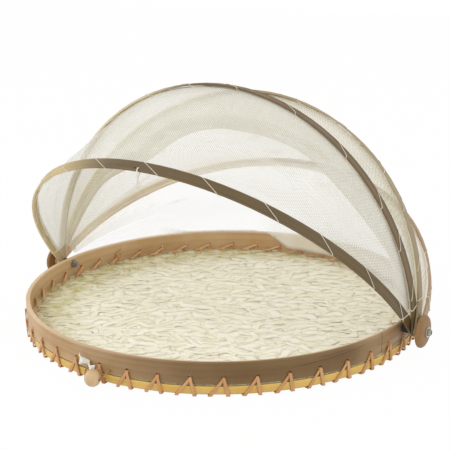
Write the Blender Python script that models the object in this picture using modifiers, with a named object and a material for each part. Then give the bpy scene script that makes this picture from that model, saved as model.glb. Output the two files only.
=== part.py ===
"""Round bamboo tray with a folding mesh cover on four bamboo bows.

The tray is a woven mat clamped between a tall rim hoop and a low hoop, and one long strip of cane laces
the three together. The bows are bent strips that turn on two bolts, one on each side of the rim, and a net
is sewn from bow to bow and down to the rear half of the rim. Lengths are in metres. The origin is the
centre of the mat's upper face, +Z is up, the bolts lie along X, and the cover closes towards -Y.
"""

import math

import bmesh
import bpy
from mathutils import Matrix, Vector

# Clearances
SEAT_GAP = 0.0003
RUNNING_GAP = 0.0005
CUT_OVERRUN = 0.003
MERGE_DISTANCE = 0.00001
SMOOTH_LIMIT = math.radians(40.0)
NET_SMOOTH_LIMIT = math.radians(80.0)

# How many sides the round pieces have
SMALL_HOLE_SIDES = 8
BORE_SIDES = 16
RING_SIDES = 20
DISC_SIDES = 28
SOCKET_SIDES = 6

# Tray hoops and mat
TRAY_RADIUS = 0.200
RIM_WALL = 0.0045
RIM_HEIGHT = 0.0208
RIM_EDGE = 0.0008
HOOP_WALL = 0.0050
HOOP_HEIGHT = 0.0080
HOOP_EDGE = 0.0014
MAT_THICKNESS = 0.0012
MAT_INSET = 0.0008
SEGMENTS_PER_STITCH = 2
SCARF_STEP = 0.0008
SCARF_AZIMUTH = math.radians(347.0)
SCARF_RUN = math.radians(60.0)
SCARF_FACE = math.radians(0.2)

# Cane lacing
STITCHES = 43
FIRST_STITCH = math.radians(0.4)
LACE_WIDTH = 0.0030
LACE_THICKNESS = 0.0008
LACE_PINCH = 0.0022
LACE_HOLE_RADIUS = 0.0019
LACE_HOLE_HEIGHT = 0.0070
LACE_PASS_GAP = 0.00045
UPPER_PASS_LIFT = 0.0014
STRAIGHT_DRIFT = 0.0015
LONG_REACH = 0.0115
INNER_REACH = 0.0160
PIERCE_INSET = 0.0070
PIERCE_DRIFT = 0.0005
PIERCE_SLOPE = 0.0011
PIERCE_RADIUS = 0.0029
PIERCE_LIFT = 0.0009
MAT_SLOT_WIDTH = 0.0040
MAT_SLOT_DEPTH = 0.0018
MAT_SLOT_DRIFT = 0.0006
LACE_SLANT_FACE = (-0.75, 0.66)
LACE_GAP_SAMPLES = 12
MAX_MITRE = 1.5
FOLD_ANGLE = math.radians(60.0)

# Hinge bolts
HINGE_HEIGHT = 0.0140
BOLT_RADIUS = 0.0020
BOLT_CLEARANCE = 0.0003
BOLT_HEAD_RADIUS = 0.0036
BOLT_HEAD_HEIGHT = 0.0024
BOLT_SOCKET_RADIUS = 0.0016
BOLT_SOCKET_DEPTH = 0.0012
BOLT_TAIL = 0.0014
SPACER_LENGTH = 0.0070
SPACER_RADIUS = 0.0045
WASHER_RADIUS = 0.0045
WASHER_THICKNESS = 0.0008
NUT_CORNER_RADIUS = 0.0040
NUT_THICKNESS = 0.0032
NUT_FLATS = 6
DISC_RADIUS = 0.0158
DISC_THICKNESS = 0.0065
DISC_WALL = 0.0026
DISC_EDGE = 0.0010
DISC_SEAT_RADIUS = 0.0060
DISC_DOME_STEPS = 6
FERRULE_RADIUS = 0.0050
FERRULE_THICKNESS = 0.0010

# Bows
BOW_THICKNESS = 0.0020
BOW_WIDTH = 0.0100
BOW_RISE = 0.0010
BOW_TONGUE = 0.0060
BOW_CORNER = 0.0035
BOW_LEAN_SHARE = -0.060
BOW_LEAN_START = 0.0060
BOW_NAMES = ("bow_front", "bow_second", "bow_third", "bow_rear")
BOW_ANGLES = tuple(math.radians(a) for a in (50.0, 94.0, 116.5, 154.0))
BOW_STEPS = 44

# Net panels
NET_THICKNESS = 0.0005
NET_SEAM = 0.0012
NET_PIVOT_RADIUS = 0.020
NET_TAUT_ANGLE = math.radians(46.0)
NET_RIM_ANGLE = math.radians(180.0)
NET_RIM_DROP = 0.0035
NET_EASE_POWER = 6
NET_STEPS = 28
NET_ROWS = {"net_front": 4, "net_second": 8, "net_third": 8, "net_rear": 6}
NET_DROOP_SHARES = {"net_front": 0.0, "net_second": 0.55, "net_third": 0.60, "net_rear": 0.0}
NET_SWING_SHARES = {"net_front": 0.0, "net_second": 0.0, "net_third": 0.0, "net_rear": 0.20}
NET_PLEAT_SHARES = {"net_front": 0.0, "net_second": 0.16, "net_third": 0.14, "net_rear": 0.0}

# Closing bead, its tie and the loop that hooks over it
BEAD_RADIUS = 0.0080
BEAD_HALF_LENGTH = 0.0075
BEAD_BORE = 0.0013
BEAD_GROUND_GAP = 0.0004
BEAD_STITCH = 32
BEAD_STEPS = 8
TIE_RADIUS = 0.0010
TIE_SPREAD = 0.0110
TIE_HOLE_HEIGHT = 0.0035
TIE_HOLE_RADIUS = 0.0013
TIE_KNOT_RADIUS = 0.0016
TIE_KNOT_LENGTH = 0.0022
TIE_REACH = 0.0034
LOOP_RADIUS = 0.0006
LOOP_HOLE_RADIUS = 0.0010
LOOP_HOLE_EDGE = 0.0025
LOOP_LENGTH = 0.0190
LOOP_WIDTH = 0.0040
LOOP_PLACE = -0.0050
LOOP_TILT = math.radians(28.0)
LOOP_BEND_STEPS = 6

# Heights that follow from the sizes above, downward from the mat's upper face
RIM_BOTTOM = SEAT_GAP
RIM_TOP = RIM_BOTTOM + RIM_HEIGHT
HOOP_TOP = -MAT_THICKNESS - SEAT_GAP
HOOP_BOTTOM = HOOP_TOP - HOOP_HEIGHT
RIM_INNER_RADIUS = TRAY_RADIUS - RIM_WALL
HOOP_INNER_RADIUS = TRAY_RADIUS - HOOP_WALL
LACE_LAYER = SEAT_GAP + LACE_THICKNESS / 2
LACE_PITCH = LACE_THICKNESS + LACE_PASS_GAP
LACE_BOTTOM = HOOP_BOTTOM - LACE_LAYER
TRAY_BOTTOM = LACE_BOTTOM - LACE_THICKNESS / 2
BORE_RADIUS = BOLT_RADIUS + BOLT_CLEARANCE

# Places along the bolts, outward from the tray's centre
SPACER_START = TRAY_RADIUS + SEAT_GAP
FIRST_BOW_FACE = SPACER_START + SPACER_LENGTH + SEAT_GAP
BOW_PITCH = BOW_THICKNESS + RUNNING_GAP
DISC_START = FIRST_BOW_FACE + len(BOW_NAMES) * BOW_PITCH
FERRULE_START = DISC_START + DISC_THICKNESS + SEAT_GAP
HEAD_START = FERRULE_START + FERRULE_THICKNESS + SEAT_GAP
WASHER_START = RIM_INNER_RADIUS - SEAT_GAP - WASHER_THICKNESS
NUT_START = WASHER_START - SEAT_GAP - NUT_THICKNESS
BOLT_END = NUT_START - BOLT_TAIL

BAMBOO = (0.52, 0.36, 0.20, 1.0)
YELLOW_BAMBOO = (0.60, 0.42, 0.13, 1.0)
PALE_SPLIT = (0.68, 0.68, 0.48, 1.0)
CANE = (0.58, 0.31, 0.14, 1.0)
DARK_BAMBOO = (0.24, 0.17, 0.08, 1.0)
NET_WHITE = (0.85, 0.83, 0.76, 1.0)
TURNED_WOOD = (0.55, 0.36, 0.20, 1.0)
STEEL = (0.55, 0.55, 0.56, 1.0)
BLACK_RUBBER = (0.02, 0.02, 0.02, 1.0)
COTTON = (0.80, 0.78, 0.72, 1.0)


def clear_scene():
    """Remove whatever the scene holds."""
    for item in list(bpy.data.objects):
        bpy.data.objects.remove(item, do_unlink=True)


def make_collection(name):
    """Return a new collection linked to the scene."""
    group = bpy.data.collections.new(name)
    bpy.context.scene.collection.children.link(group)
    return group


def make_material(name, color, roughness, metallic=0.0):
    """Return a plain material of one colour."""
    material = bpy.data.materials.new(name)
    material.use_nodes = True
    shader = material.node_tree.nodes["Principled BSDF"]
    shader.inputs["Base Color"].default_value = color
    shader.inputs["Roughness"].default_value = roughness
    shader.inputs["Metallic"].default_value = metallic
    material.diffuse_color = color
    return material


def place(name, mesh, group, material=None, matrix=None):
    """Make an object of a mesh in a collection, with its matrix in the world."""
    item = bpy.data.objects.new(name, mesh)
    group.objects.link(item)
    if material:
        mesh.materials.append(material)
    if matrix:
        item.matrix_world = matrix
    return item


def smooth(item, limit=SMOOTH_LIMIT):
    """Shade a mesh object smooth, with sharp edges above the limit."""
    item.data.shade_smooth()
    item.data.set_sharp_from_angle(angle=limit)


def mesh_from(name, build):
    """Return a mesh filled by a function that works on an empty bmesh."""
    mesh = bpy.data.meshes.new(name)
    work = bmesh.new()
    build(work)
    bmesh.ops.recalc_face_normals(work, faces=work.faces[:])
    work.to_mesh(mesh)
    work.free()
    return mesh


def loft(rings, close_path, cap_ends):
    """Return a builder that joins rings of the same number of points."""

    def build(work):
        loops = [[work.verts.new(point) for point in ring] for ring in rings]
        count = len(loops[0])
        last = len(loops) if close_path else len(loops) - 1
        for i in range(last):
            here, there = loops[i], loops[(i + 1) % len(loops)]
            for k in range(count):
                after = (k + 1) % count
                work.faces.new((here[k], here[after], there[after], there[k]))
        if cap_ends:
            work.faces.new(loops[0])
            work.faces.new(loops[-1])

    return build


def turned(name, profile, closed, steps, group, material, matrix):
    """Turn a profile of (radius, height) about its own Z axis; its outer side runs downward."""

    mesh = bpy.data.meshes.new(name)
    work = bmesh.new()
    points = [work.verts.new((radius, 0.0, height)) for radius, height in profile]
    for first, second in zip(points, points[1:]):
        work.edges.new((first, second))
    if closed:
        work.edges.new((points[-1], points[0]))
    work.to_mesh(mesh)
    work.free()
    item = place(name, mesh, group, material, matrix)
    screw = item.modifiers.new("turn", "SCREW")
    screw.axis = "Z"
    screw.steps = steps
    screw.render_steps = steps
    screw.use_merge_vertices = True
    screw.merge_threshold = MERGE_DISTANCE
    screw.use_smooth_shade = True
    return item


def cut(item, cutter, name):
    """Subtract one object from another."""
    boolean = item.modifiers.new(name, "BOOLEAN")
    boolean.operation = "DIFFERENCE"
    boolean.solver = "EXACT"
    boolean.object = cutter


def cutter_object(name, build, group, matrix=None):
    """Make a hidden cutter from a bmesh builder."""
    item = place(name, mesh_from(name, build), group, None, matrix)
    item.hide_render = True
    item.display_type = "WIRE"
    return item


def cylinder(work, radius, start, end, axis_matrix, sides):
    """Add a cylinder between two places on the local Z axis of a matrix."""
    move = axis_matrix @ Matrix.Translation((0.0, 0.0, (start + end) / 2))
    bmesh.ops.create_cone(
        work, cap_ends=True, segments=sides, radius1=radius, radius2=radius, depth=end - start, matrix=move
    )


def outward(azimuth, height, drift=0.0):
    """Return the matrix whose Z axis points out from the tray's axis at an azimuth and height."""
    turn = Matrix.Rotation(azimuth + drift / TRAY_RADIUS, 4, "Z")
    return Matrix.Translation((0.0, 0.0, height)) @ turn @ Matrix.Rotation(math.pi / 2, 4, "Y")


def stitch_azimuth(index):
    """Return the azimuth of one lacing hole."""
    return FIRST_STITCH + index * math.tau / STITCHES


def hinge_matrix(side):
    """Return the matrix whose Z axis runs outward along the hinge on one side, +1 or -1."""
    return Matrix.Translation((0.0, 0.0, HINGE_HEIGHT)) @ Matrix.Rotation(side * math.pi / 2, 4, "Y")


def scarf_depth(azimuth):
    """Return how far the outer face lies back at an azimuth, past the lapped end of the strip."""
    past = (azimuth - SCARF_AZIMUTH) % math.tau
    return SCARF_STEP * max(0.0, 1.0 - past / SCARF_RUN)


def rim_section(azimuth, outer):
    """Return the rim's rounded section at an azimuth."""
    corners = (
        (RIM_INNER_RADIUS, RIM_BOTTOM),
        (outer, RIM_BOTTOM),
        (outer, RIM_TOP - RIM_EDGE),
        (outer - RIM_EDGE, RIM_TOP),
        (RIM_INNER_RADIUS + RIM_EDGE, RIM_TOP),
        (RIM_INNER_RADIUS, RIM_TOP - RIM_EDGE),
    )
    return [Vector((r * math.cos(azimuth), r * math.sin(azimuth), z)) for r, z in corners]


def make_rim_hoop(parts, cutters, material):
    """Bend the tall hoop, whose lapped end leaves a small step on its outer face, and drill it."""
    count = SEGMENTS_PER_STITCH * STITCHES
    rings = []
    for i in range(count):
        azimuth = SCARF_AZIMUTH + i * (math.tau - SCARF_FACE) / (count - 1)
        depth = scarf_depth(azimuth) if i < count - 1 else 0.0
        rings.append(rim_section(azimuth, TRAY_RADIUS - depth))
    hoop = place("rim_hoop", mesh_from("rim_hoop", loft(rings, True, False)), parts, material)
    smooth(hoop)

    inner, outer = RIM_INNER_RADIUS - CUT_OVERRUN, TRAY_RADIUS + CUT_OVERRUN

    def drill_for_lace(work):
        for i in range(STITCHES):
            spot = outward(stitch_azimuth(i), LACE_HOLE_HEIGHT)
            cylinder(work, LACE_HOLE_RADIUS, inner, outer, spot, SMALL_HOLE_SIDES)

    def drill_for_bolts_and_tie(work):
        for side in (1, -1):
            cylinder(work, BORE_RADIUS, inner, outer, hinge_matrix(side), BORE_SIDES)
            spot = outward(stitch_azimuth(BEAD_STITCH), TIE_HOLE_HEIGHT, side * TIE_SPREAD)
            cylinder(work, TIE_HOLE_RADIUS, inner, outer, spot, SMALL_HOLE_SIDES)

    cut(hoop, cutter_object("rim_lace_drill", drill_for_lace, cutters), "lace_holes")
    cut(hoop, cutter_object("rim_bolt_drill", drill_for_bolts_and_tie, cutters), "bolt_holes")
    return hoop


def make_lower_hoop(parts, material):
    """Turn the low hoop that lies under the mat."""
    profile = [
        (TRAY_RADIUS, HOOP_TOP),
        (TRAY_RADIUS, HOOP_BOTTOM + HOOP_EDGE),
        (TRAY_RADIUS - HOOP_EDGE, HOOP_BOTTOM),
        (HOOP_INNER_RADIUS + HOOP_EDGE, HOOP_BOTTOM),
        (HOOP_INNER_RADIUS, HOOP_BOTTOM + HOOP_EDGE),
        (HOOP_INNER_RADIUS, HOOP_TOP),
    ]
    steps = SEGMENTS_PER_STITCH * STITCHES
    return turned("lower_hoop", profile, True, steps, parts, material, Matrix.Identity(4))


def make_floor_mat(parts, cutters, material):
    """Make the woven mat as a thin sheet, with the slits that the lace comes up through."""

    def sheet(work):
        sides = SEGMENTS_PER_STITCH * STITCHES
        cylinder(work, TRAY_RADIUS - MAT_INSET, -MAT_THICKNESS, 0.0, Matrix.Identity(4), sides)

    mat = place("floor_mat", mesh_from("floor_mat", sheet), parts, material)
    low, high = -MAT_THICKNESS - CUT_OVERRUN, CUT_OVERRUN

    def slits(work):
        for i in range(STITCHES):
            spot = outward(stitch_azimuth(i), (low + high) / 2, MAT_SLOT_DRIFT)
            radius = min(RIM_INNER_RADIUS, HOOP_INNER_RADIUS) - LACE_LAYER
            size = Matrix.Diagonal((high - low, MAT_SLOT_WIDTH, MAT_SLOT_DEPTH, 1.0))
            spot = spot @ Matrix.Translation((0.0, 0.0, radius))
            bmesh.ops.create_cube(work, size=1.0, matrix=spot @ size)
            spot = Matrix.Rotation(stitch_azimuth(i) + INNER_REACH / TRAY_RADIUS, 4, "Z")
            spot = spot @ Matrix.Translation((RIM_INNER_RADIUS - PIERCE_INSET + PIERCE_SLOPE, 0.0, 0.0))
            cylinder(work, PIERCE_RADIUS, low, high, spot, SMALL_HOLE_SIDES)

    cut(mat, cutter_object("mat_slits", slits, cutters), "slits")
    return mat


def stitch_points():
    """Return one stitch as (along the rim, radius, height, width), from the mat up to the next stitch.

    The cane comes up through the mat, slants along the wall to the top of the hole, drops straight down
    outside, passes under the low hoop, climbs the inner wall to the foot of the same hole, and slants down
    outside.
    """
    upper = LACE_HOLE_HEIGHT + LACE_PITCH / 2
    lower = LACE_HOLE_HEIGHT - LACE_PITCH / 2
    near_in = min(RIM_INNER_RADIUS, HOOP_INNER_RADIUS) - LACE_LAYER
    near_out = TRAY_RADIUS + LACE_LAYER
    far_in = near_in - UPPER_PASS_LIFT
    far_out = near_out + UPPER_PASS_LIFT
    advance = math.tau * TRAY_RADIUS / STITCHES
    return [
        (INNER_REACH, RIM_INNER_RADIUS - PIERCE_INSET, LACE_THICKNESS + PIERCE_LIFT, LACE_WIDTH),
        (0.0, far_in, upper, LACE_PINCH),
        (0.0, far_out, upper, LACE_PINCH),
        (STRAIGHT_DRIFT, near_out + LACE_THICKNESS, LACE_BOTTOM, LACE_WIDTH),
        (STRAIGHT_DRIFT, near_in, LACE_BOTTOM, LACE_WIDTH),
        (0.0, near_in, lower, LACE_PINCH),
        (0.0, near_out, lower, LACE_PINCH),
        (-LONG_REACH, near_out, LACE_BOTTOM, LACE_WIDTH),
        (INNER_REACH - advance + PIERCE_DRIFT, near_in, LACE_BOTTOM, LACE_WIDTH),
    ]


def stitch_normals():
    """Return the side that faces out of the bend for each run of a stitch, as (radial, up)."""
    slanted = LACE_SLANT_FACE
    inward, outward_face, upward, downward = (-1.0, 0.0), (1.0, 0.0), (0.0, 1.0), (0.0, -1.0)
    return [slanted, upward, outward_face, downward, inward, upward, outward_face, downward, inward]


def unit_bisector(first, second):
    """Return the mean direction of two unit vectors, lengthened so that a mitred strip keeps its size."""
    mean = (first + second).normalized()
    return mean * min(MAX_MITRE, 1.0 / max(mean.dot(first), 1.0 / MAX_MITRE))


def fold_side(side, after_side, face, after_face, run):
    """Return the direction across a strip at a bend: the fold's own line where it folds over an edge."""
    if face.angle(after_face) < FOLD_ANGLE:
        return unit_bisector(side, after_side)
    line = face.cross(after_face).normalized()
    if line.dot(side) < 0.0:
        line = -line
    return line * min(MAX_MITRE, 1.0 / max(line.cross(run).length, 1.0 / MAX_MITRE))


def lace_path():
    """Return the lace's points, the faces of its runs and its widths, round the whole tray."""
    points, normals, widths = [], [], []
    for i in range(STITCHES):
        azimuth = stitch_azimuth(STITCHES - 1 - i)
        for (along, radius, height, width), (radial, rise) in zip(stitch_points(), stitch_normals()):
            angle = azimuth + along / TRAY_RADIUS
            points.append(Vector((radius * math.cos(angle), radius * math.sin(angle), height)))
            normals.append(Vector((radial * math.cos(angle), radial * math.sin(angle), rise)))
            widths.append(width)
    return points, normals, widths


def make_rim_lacing(parts, material):
    """Lace the hoops and the mat with one unbroken flat strip of cane, mitred where it folds."""
    points, normals, widths = lace_path()
    tangents = [(b - a).normalized() for a, b in zip(points, points[1:])]
    faces = [(n - t * n.dot(t)).normalized() for n, t in zip(normals, tangents)]
    sides = [t.cross(n) for t, n in zip(tangents, faces)]
    rings = []
    for i, point in enumerate(points):
        before, after = max(i - 1, 0), min(i, len(tangents) - 1)
        side = fold_side(sides[before], sides[after], faces[before], faces[after], tangents[after])
        side = side * widths[i] / 2
        face = unit_bisector(faces[before], faces[after]) * LACE_THICKNESS / 2
        rings.append([point - side - face, point + side - face, point + side + face, point - side + face])
    lacing = place("rim_lacing", mesh_from("rim_lacing", loft(rings, False, True)), parts, material)
    print(f"least gap of the lace to itself: {lace_gap(points) * 1000:.2f} mm")
    return lacing


def lace_gap(points):
    """Measure the least gap between runs of neighbouring stitches that don't follow each other."""
    window = 2 * len(stitch_points()) + 1
    least = TRAY_RADIUS
    for i in range(len(points) - 1):
        for k in range(i + 2, min(i + window, len(points) - 1)):
            near = segment_distance(points[i], points[i + 1], points[k], points[k + 1])
            least = min(least, near - LACE_THICKNESS)
    return least


def segment_distance(a, b, c, d):
    """Return the least distance between two straight runs, from evenly spaced points on the first."""
    shares = [i / LACE_GAP_SAMPLES for i in range(LACE_GAP_SAMPLES + 1)]
    return min(point_to_segment(a.lerp(b, share), c, d) for share in shares)


def point_to_segment(point, start, end):
    """Return the distance from a point to a straight run."""
    run = end - start
    share = max(0.0, min(1.0, (point - start).dot(run) / run.length_squared))
    return (point - start - run * share).length


def bow_size(index):
    """Return a bow's half span and rise, both to the middle of its strip."""
    half_span = FIRST_BOW_FACE + BOW_THICKNESS / 2 + index * BOW_PITCH
    return half_span, half_span + BOW_RISE


def bow_point(index, turn, inset=0.0):
    """Return a point of a bow in its own plane, as (across, away from the hinge)."""
    half_span, rise = bow_size(index)
    away = (rise - inset) * math.sin(turn)
    return (half_span - inset) * math.cos(turn) + BOW_LEAN_SHARE * max(0.0, away - BOW_LEAN_START), away


def bow_turn(angle):
    """Return the turn that stands a bow's plane up at an angle from the front horizontal."""
    return Matrix.Rotation(math.pi - angle, 4, "X")


def bow_matrix(angle):
    """Return the matrix of a bow, whose origin lies on the hinge."""
    return Matrix.Translation((0.0, 0.0, HINGE_HEIGHT)) @ bow_turn(angle)


def make_bow(index, parts, cutters, material):
    """Bend one flat strip into a bow with round tongues, bored for the bolts."""
    half_span = bow_size(index)[0]
    path = [(half_span, -BOW_TONGUE)]
    path += [bow_point(index, i * math.pi / BOW_STEPS) for i in range(BOW_STEPS + 1)]
    path += [(-half_span, -BOW_TONGUE)]

    def ribbon(work):
        line = [work.verts.new((x, y, -BOW_WIDTH / 2)) for x, y in path]
        edges = [work.edges.new(pair) for pair in zip(line, line[1:])]
        swept = bmesh.ops.extrude_edge_only(work, edges=edges)["geom"]
        raised = [v for v in swept if isinstance(v, bmesh.types.BMVert)]
        bmesh.ops.translate(work, verts=raised, vec=(0.0, 0.0, BOW_WIDTH))
        corners = [v for v in work.verts if len(v.link_edges) == 2]
        bmesh.ops.bevel(work, geom=corners, offset=BOW_CORNER, segments=3, profile=0.5, affect="VERTICES")

    name, matrix = BOW_NAMES[index], bow_matrix(BOW_ANGLES[index])
    bow = place(name, mesh_from(name, ribbon), parts, material, matrix)
    thicken = bow.modifiers.new("strip", "SOLIDIFY")
    thicken.thickness = BOW_THICKNESS
    thicken.offset = 0.0
    thicken.use_even_offset = True

    def bores(work):
        reach = half_span + BOW_THICKNESS
        across = Matrix.Rotation(math.pi / 2, 4, "Y")
        for side in (1, -1):
            spot = Matrix.Scale(side, 4) @ across
            cylinder(work, BORE_RADIUS, half_span - BOW_THICKNESS, reach, spot, BORE_SIDES)
        bmesh.ops.recalc_face_normals(work, faces=work.faces[:])

    cut(bow, cutter_object(name + "_bores", bores, cutters, matrix), "bores")
    if index == 0:
        cut(bow, loop_drill(cutters), "loop_hole")
    smooth(bow)
    return bow


def net_edge(bow, turn, rear_side):
    """Return a point inside a bow, from the hinge, on the front or the rear side of its seam.

    Near the bolts a panel's rear edge keeps the span of the bow in front of it, so that it clears that bow.
    """
    inset = BOW_THICKNESS / 2 + SEAT_GAP + NET_THICKNESS / 2
    if not rear_side:
        inset += BOW_PITCH * math.cos(turn) ** NET_EASE_POWER
    across, away = bow_point(bow, turn, inset)
    return bow_turn(BOW_ANGLES[bow]) @ Vector((across, away, -NET_SEAM if rear_side else NET_SEAM))


def rim_edge(turn):
    """Return a point of the rear rim's outer face, from the hinge, where the last panel is fastened."""
    radius = TRAY_RADIUS + SEAT_GAP + NET_THICKNESS / 2
    return Vector((radius * math.cos(turn), radius * math.sin(turn), RIM_TOP - NET_RIM_DROP - HINGE_HEIGHT))


def net_point(name, bow, turn, share):
    """Return a point of a net panel at a turn of the bows' arcs and a share of the way to its rear edge."""
    rear_angle = BOW_ANGLES[bow + 1] if bow + 1 < len(BOW_NAMES) else NET_RIM_ANGLE
    front = net_edge(bow, turn, True)
    rear = net_edge(bow + 1, turn, False) if bow + 1 < len(BOW_NAMES) else rim_edge(turn)
    away = bow_size(bow)[1] * math.sin(turn)
    half_slack = away * math.sin(NET_TAUT_ANGLE / 2)
    half_open = away * math.sin((rear_angle - BOW_ANGLES[bow]) / 2)
    depth = math.sqrt(max(0.0, half_slack**2 - half_open**2))
    hang = NET_DROOP_SHARES[name] * math.sin(math.pi * share)
    hang += NET_SWING_SHARES[name] * math.sin(2 * math.pi * share)
    hang += NET_PLEAT_SHARES[name] * math.sin(3 * math.pi * share)
    inward = -((front + rear) / 2).normalized()
    return front.lerp(rear, share) + inward * depth * hang


def make_net(name, bow, parts, material):
    """Hang one panel of net from a bow to the one behind it, or to the rim, with the droop of its slack."""
    first = math.asin(NET_PIVOT_RADIUS / bow_size(bow)[1])
    rows = NET_ROWS[name]

    def sheet(work):
        grid = bmesh.ops.create_grid(work, x_segments=NET_STEPS, y_segments=rows, size=1.0)["verts"]
        for corner in grid:
            turn = first + (corner.co.x + 1) / 2 * (math.pi - 2 * first)
            corner.co = net_point(name, bow, turn, (corner.co.y + 1) / 2)

    matrix = Matrix.Translation((0.0, 0.0, HINGE_HEIGHT))
    panel = place(name, mesh_from(name, sheet), parts, material, matrix)
    thicken = panel.modifiers.new("cloth", "SOLIDIFY")
    thicken.thickness = NET_THICKNESS
    thicken.offset = 0.0
    smooth(panel, NET_SMOOTH_LIMIT)
    return panel


def ring_profile(outer, start, thickness):
    """Return the square section of a washer or sleeve round a bolt."""
    end = start + thickness
    return [(outer, end), (outer, start), (BORE_RADIUS, start), (BORE_RADIUS, end)]


def make_hinge(side, label, parts, cutters, materials):
    """Stack one hinge: bolt, ferrule, turned disc, spacer, washer and nut."""
    matrix = hinge_matrix(side)
    spacer = ring_profile(SPACER_RADIUS, SPACER_START, SPACER_LENGTH)
    turned("rim_spacer_" + label, spacer, True, RING_SIDES, parts, materials["rubber"], matrix)
    washer = ring_profile(WASHER_RADIUS, WASHER_START, WASHER_THICKNESS)
    turned("inner_washer_" + label, washer, True, RING_SIDES, parts, materials["steel"], matrix)
    ferrule = ring_profile(FERRULE_RADIUS, FERRULE_START, FERRULE_THICKNESS)
    turned("disc_ferrule_" + label, ferrule, True, RING_SIDES, parts, materials["steel"], matrix)
    turned("wooden_disc_" + label, disc_profile(), True, DISC_SIDES, parts, materials["wood"], matrix)

    head_top = HEAD_START + BOLT_HEAD_HEIGHT
    profile = [
        (0.0, head_top),
        (BOLT_HEAD_RADIUS * math.cos(math.pi / 4), head_top),
        (BOLT_HEAD_RADIUS, HEAD_START + BOLT_HEAD_HEIGHT / 2),
        (BOLT_HEAD_RADIUS, HEAD_START),
        (BOLT_RADIUS, HEAD_START),
        (BOLT_RADIUS, BOLT_END),
        (0.0, BOLT_END),
    ]
    bolt = turned("hinge_bolt_" + label, profile, False, BORE_SIDES, parts, materials["steel"], matrix)

    def socket(work):
        low, high = head_top - BOLT_SOCKET_DEPTH, head_top + CUT_OVERRUN
        cylinder(work, BOLT_SOCKET_RADIUS, low, high, Matrix.Identity(4), SOCKET_SIDES)

    cut(bolt, cutter_object("bolt_socket_" + label, socket, cutters, matrix), "socket")

    start, end = NUT_START, NUT_START + NUT_THICKNESS
    sections = ((nut_outline, start), (nut_outline, end), (bore_outline, end), (bore_outline, start))
    rings = [outline(height) for outline, height in sections]
    nut_name = "hinge_nut_" + label
    place(nut_name, mesh_from(nut_name, loft(rings, True, False)), parts, materials["steel"], matrix)


def nut_outline(height):
    """Return a hexagon with a point at each corner and in the middle of each flat."""
    flat = NUT_CORNER_RADIUS * math.cos(math.pi / NUT_FLATS)
    points = []
    for i in range(2 * NUT_FLATS):
        radius, turn = (NUT_CORNER_RADIUS, flat)[i % 2], i * math.pi / NUT_FLATS
        points.append(Vector((radius * math.cos(turn), radius * math.sin(turn), height)))
    return points


def bore_outline(height):
    """Return the nut's bore as a ring of as many points."""
    turns = [i * math.pi / NUT_FLATS for i in range(2 * NUT_FLATS)]
    return [Vector((BORE_RADIUS * math.cos(turn), BORE_RADIUS * math.sin(turn), height)) for turn in turns]


def disc_profile():
    """Return the domed section of a wooden disc, flat against the bows and seated for its ferrule."""
    dome = DISC_THICKNESS - DISC_WALL
    top = DISC_START + DISC_THICKNESS
    span = DISC_RADIUS - DISC_SEAT_RADIUS
    profile = [(BORE_RADIUS, top), (DISC_SEAT_RADIUS, top)]
    for i in range(1, DISC_DOME_STEPS + 1):
        turn = i / DISC_DOME_STEPS * math.pi / 2
        profile.append((DISC_SEAT_RADIUS + span * math.sin(turn), top - dome + dome * math.cos(turn)))
    profile += [(DISC_RADIUS, DISC_START + DISC_EDGE), (DISC_RADIUS - DISC_EDGE, DISC_START)]
    profile.append((BORE_RADIUS, DISC_START))
    return profile


def bead_centre():
    """Return the bead's distance from the tray's axis and its height."""
    clear_of_lace = TRAY_RADIUS + LACE_LAYER + UPPER_PASS_LIFT + LACE_THICKNESS / 2 + SEAT_GAP
    return clear_of_lace + BEAD_RADIUS, TRAY_BOTTOM + BEAD_GROUND_GAP + BEAD_RADIUS


def make_bead(parts, material):
    """Turn the closing bead about its bore, which lies along the rim."""
    radius, height = bead_centre()
    edge = math.asin(BEAD_BORE / BEAD_RADIUS)
    profile = [(BEAD_BORE, BEAD_HALF_LENGTH * math.cos(edge))]
    for i in range(1, BEAD_STEPS):
        turn = edge + i * (math.pi - 2 * edge) / BEAD_STEPS
        profile.append((BEAD_RADIUS * math.sin(turn), BEAD_HALF_LENGTH * math.cos(turn)))
    profile.append((BEAD_BORE, -BEAD_HALF_LENGTH * math.cos(edge)))
    spot = Matrix.Rotation(stitch_azimuth(BEAD_STITCH), 4, "Z") @ Matrix.Translation((radius, 0.0, height))
    along = spot @ Matrix.Rotation(math.pi / 2, 4, "X")
    return turned("closing_bead", profile, True, RING_SIDES, parts, material, along)


def curve_tube(name, points, radius, group, material, matrix, closed=False, radii=None):
    """Make a round tube along points as a mesh, with its caps welded."""
    data = bpy.data.curves.new(name, "CURVE")
    data.dimensions = "3D"
    data.bevel_depth = radius
    data.bevel_resolution = 1
    data.use_fill_caps = not closed
    spline = data.splines.new("POLY")
    spline.points.add(len(points) - 1)
    spline.use_cyclic_u = closed
    for i, point in enumerate(points):
        spline.points[i].co = (*point, 1.0)
        spline.points[i].radius = radii[i] if radii else 1.0
    curve = bpy.data.objects.new(name + "_curve", data)
    bpy.context.scene.collection.objects.link(curve)
    mesh = bpy.data.meshes.new_from_object(curve.evaluated_get(bpy.context.evaluated_depsgraph_get()))
    bpy.data.objects.remove(curve, do_unlink=True)
    mesh.name = name
    work = bmesh.new()
    work.from_mesh(mesh)
    bmesh.ops.remove_doubles(work, verts=work.verts[:], dist=MERGE_DISTANCE)
    bmesh.ops.recalc_face_normals(work, faces=work.faces[:])
    work.to_mesh(mesh)
    work.free()
    item = place(name, mesh, group, material, matrix)
    smooth(item)
    return item


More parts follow.
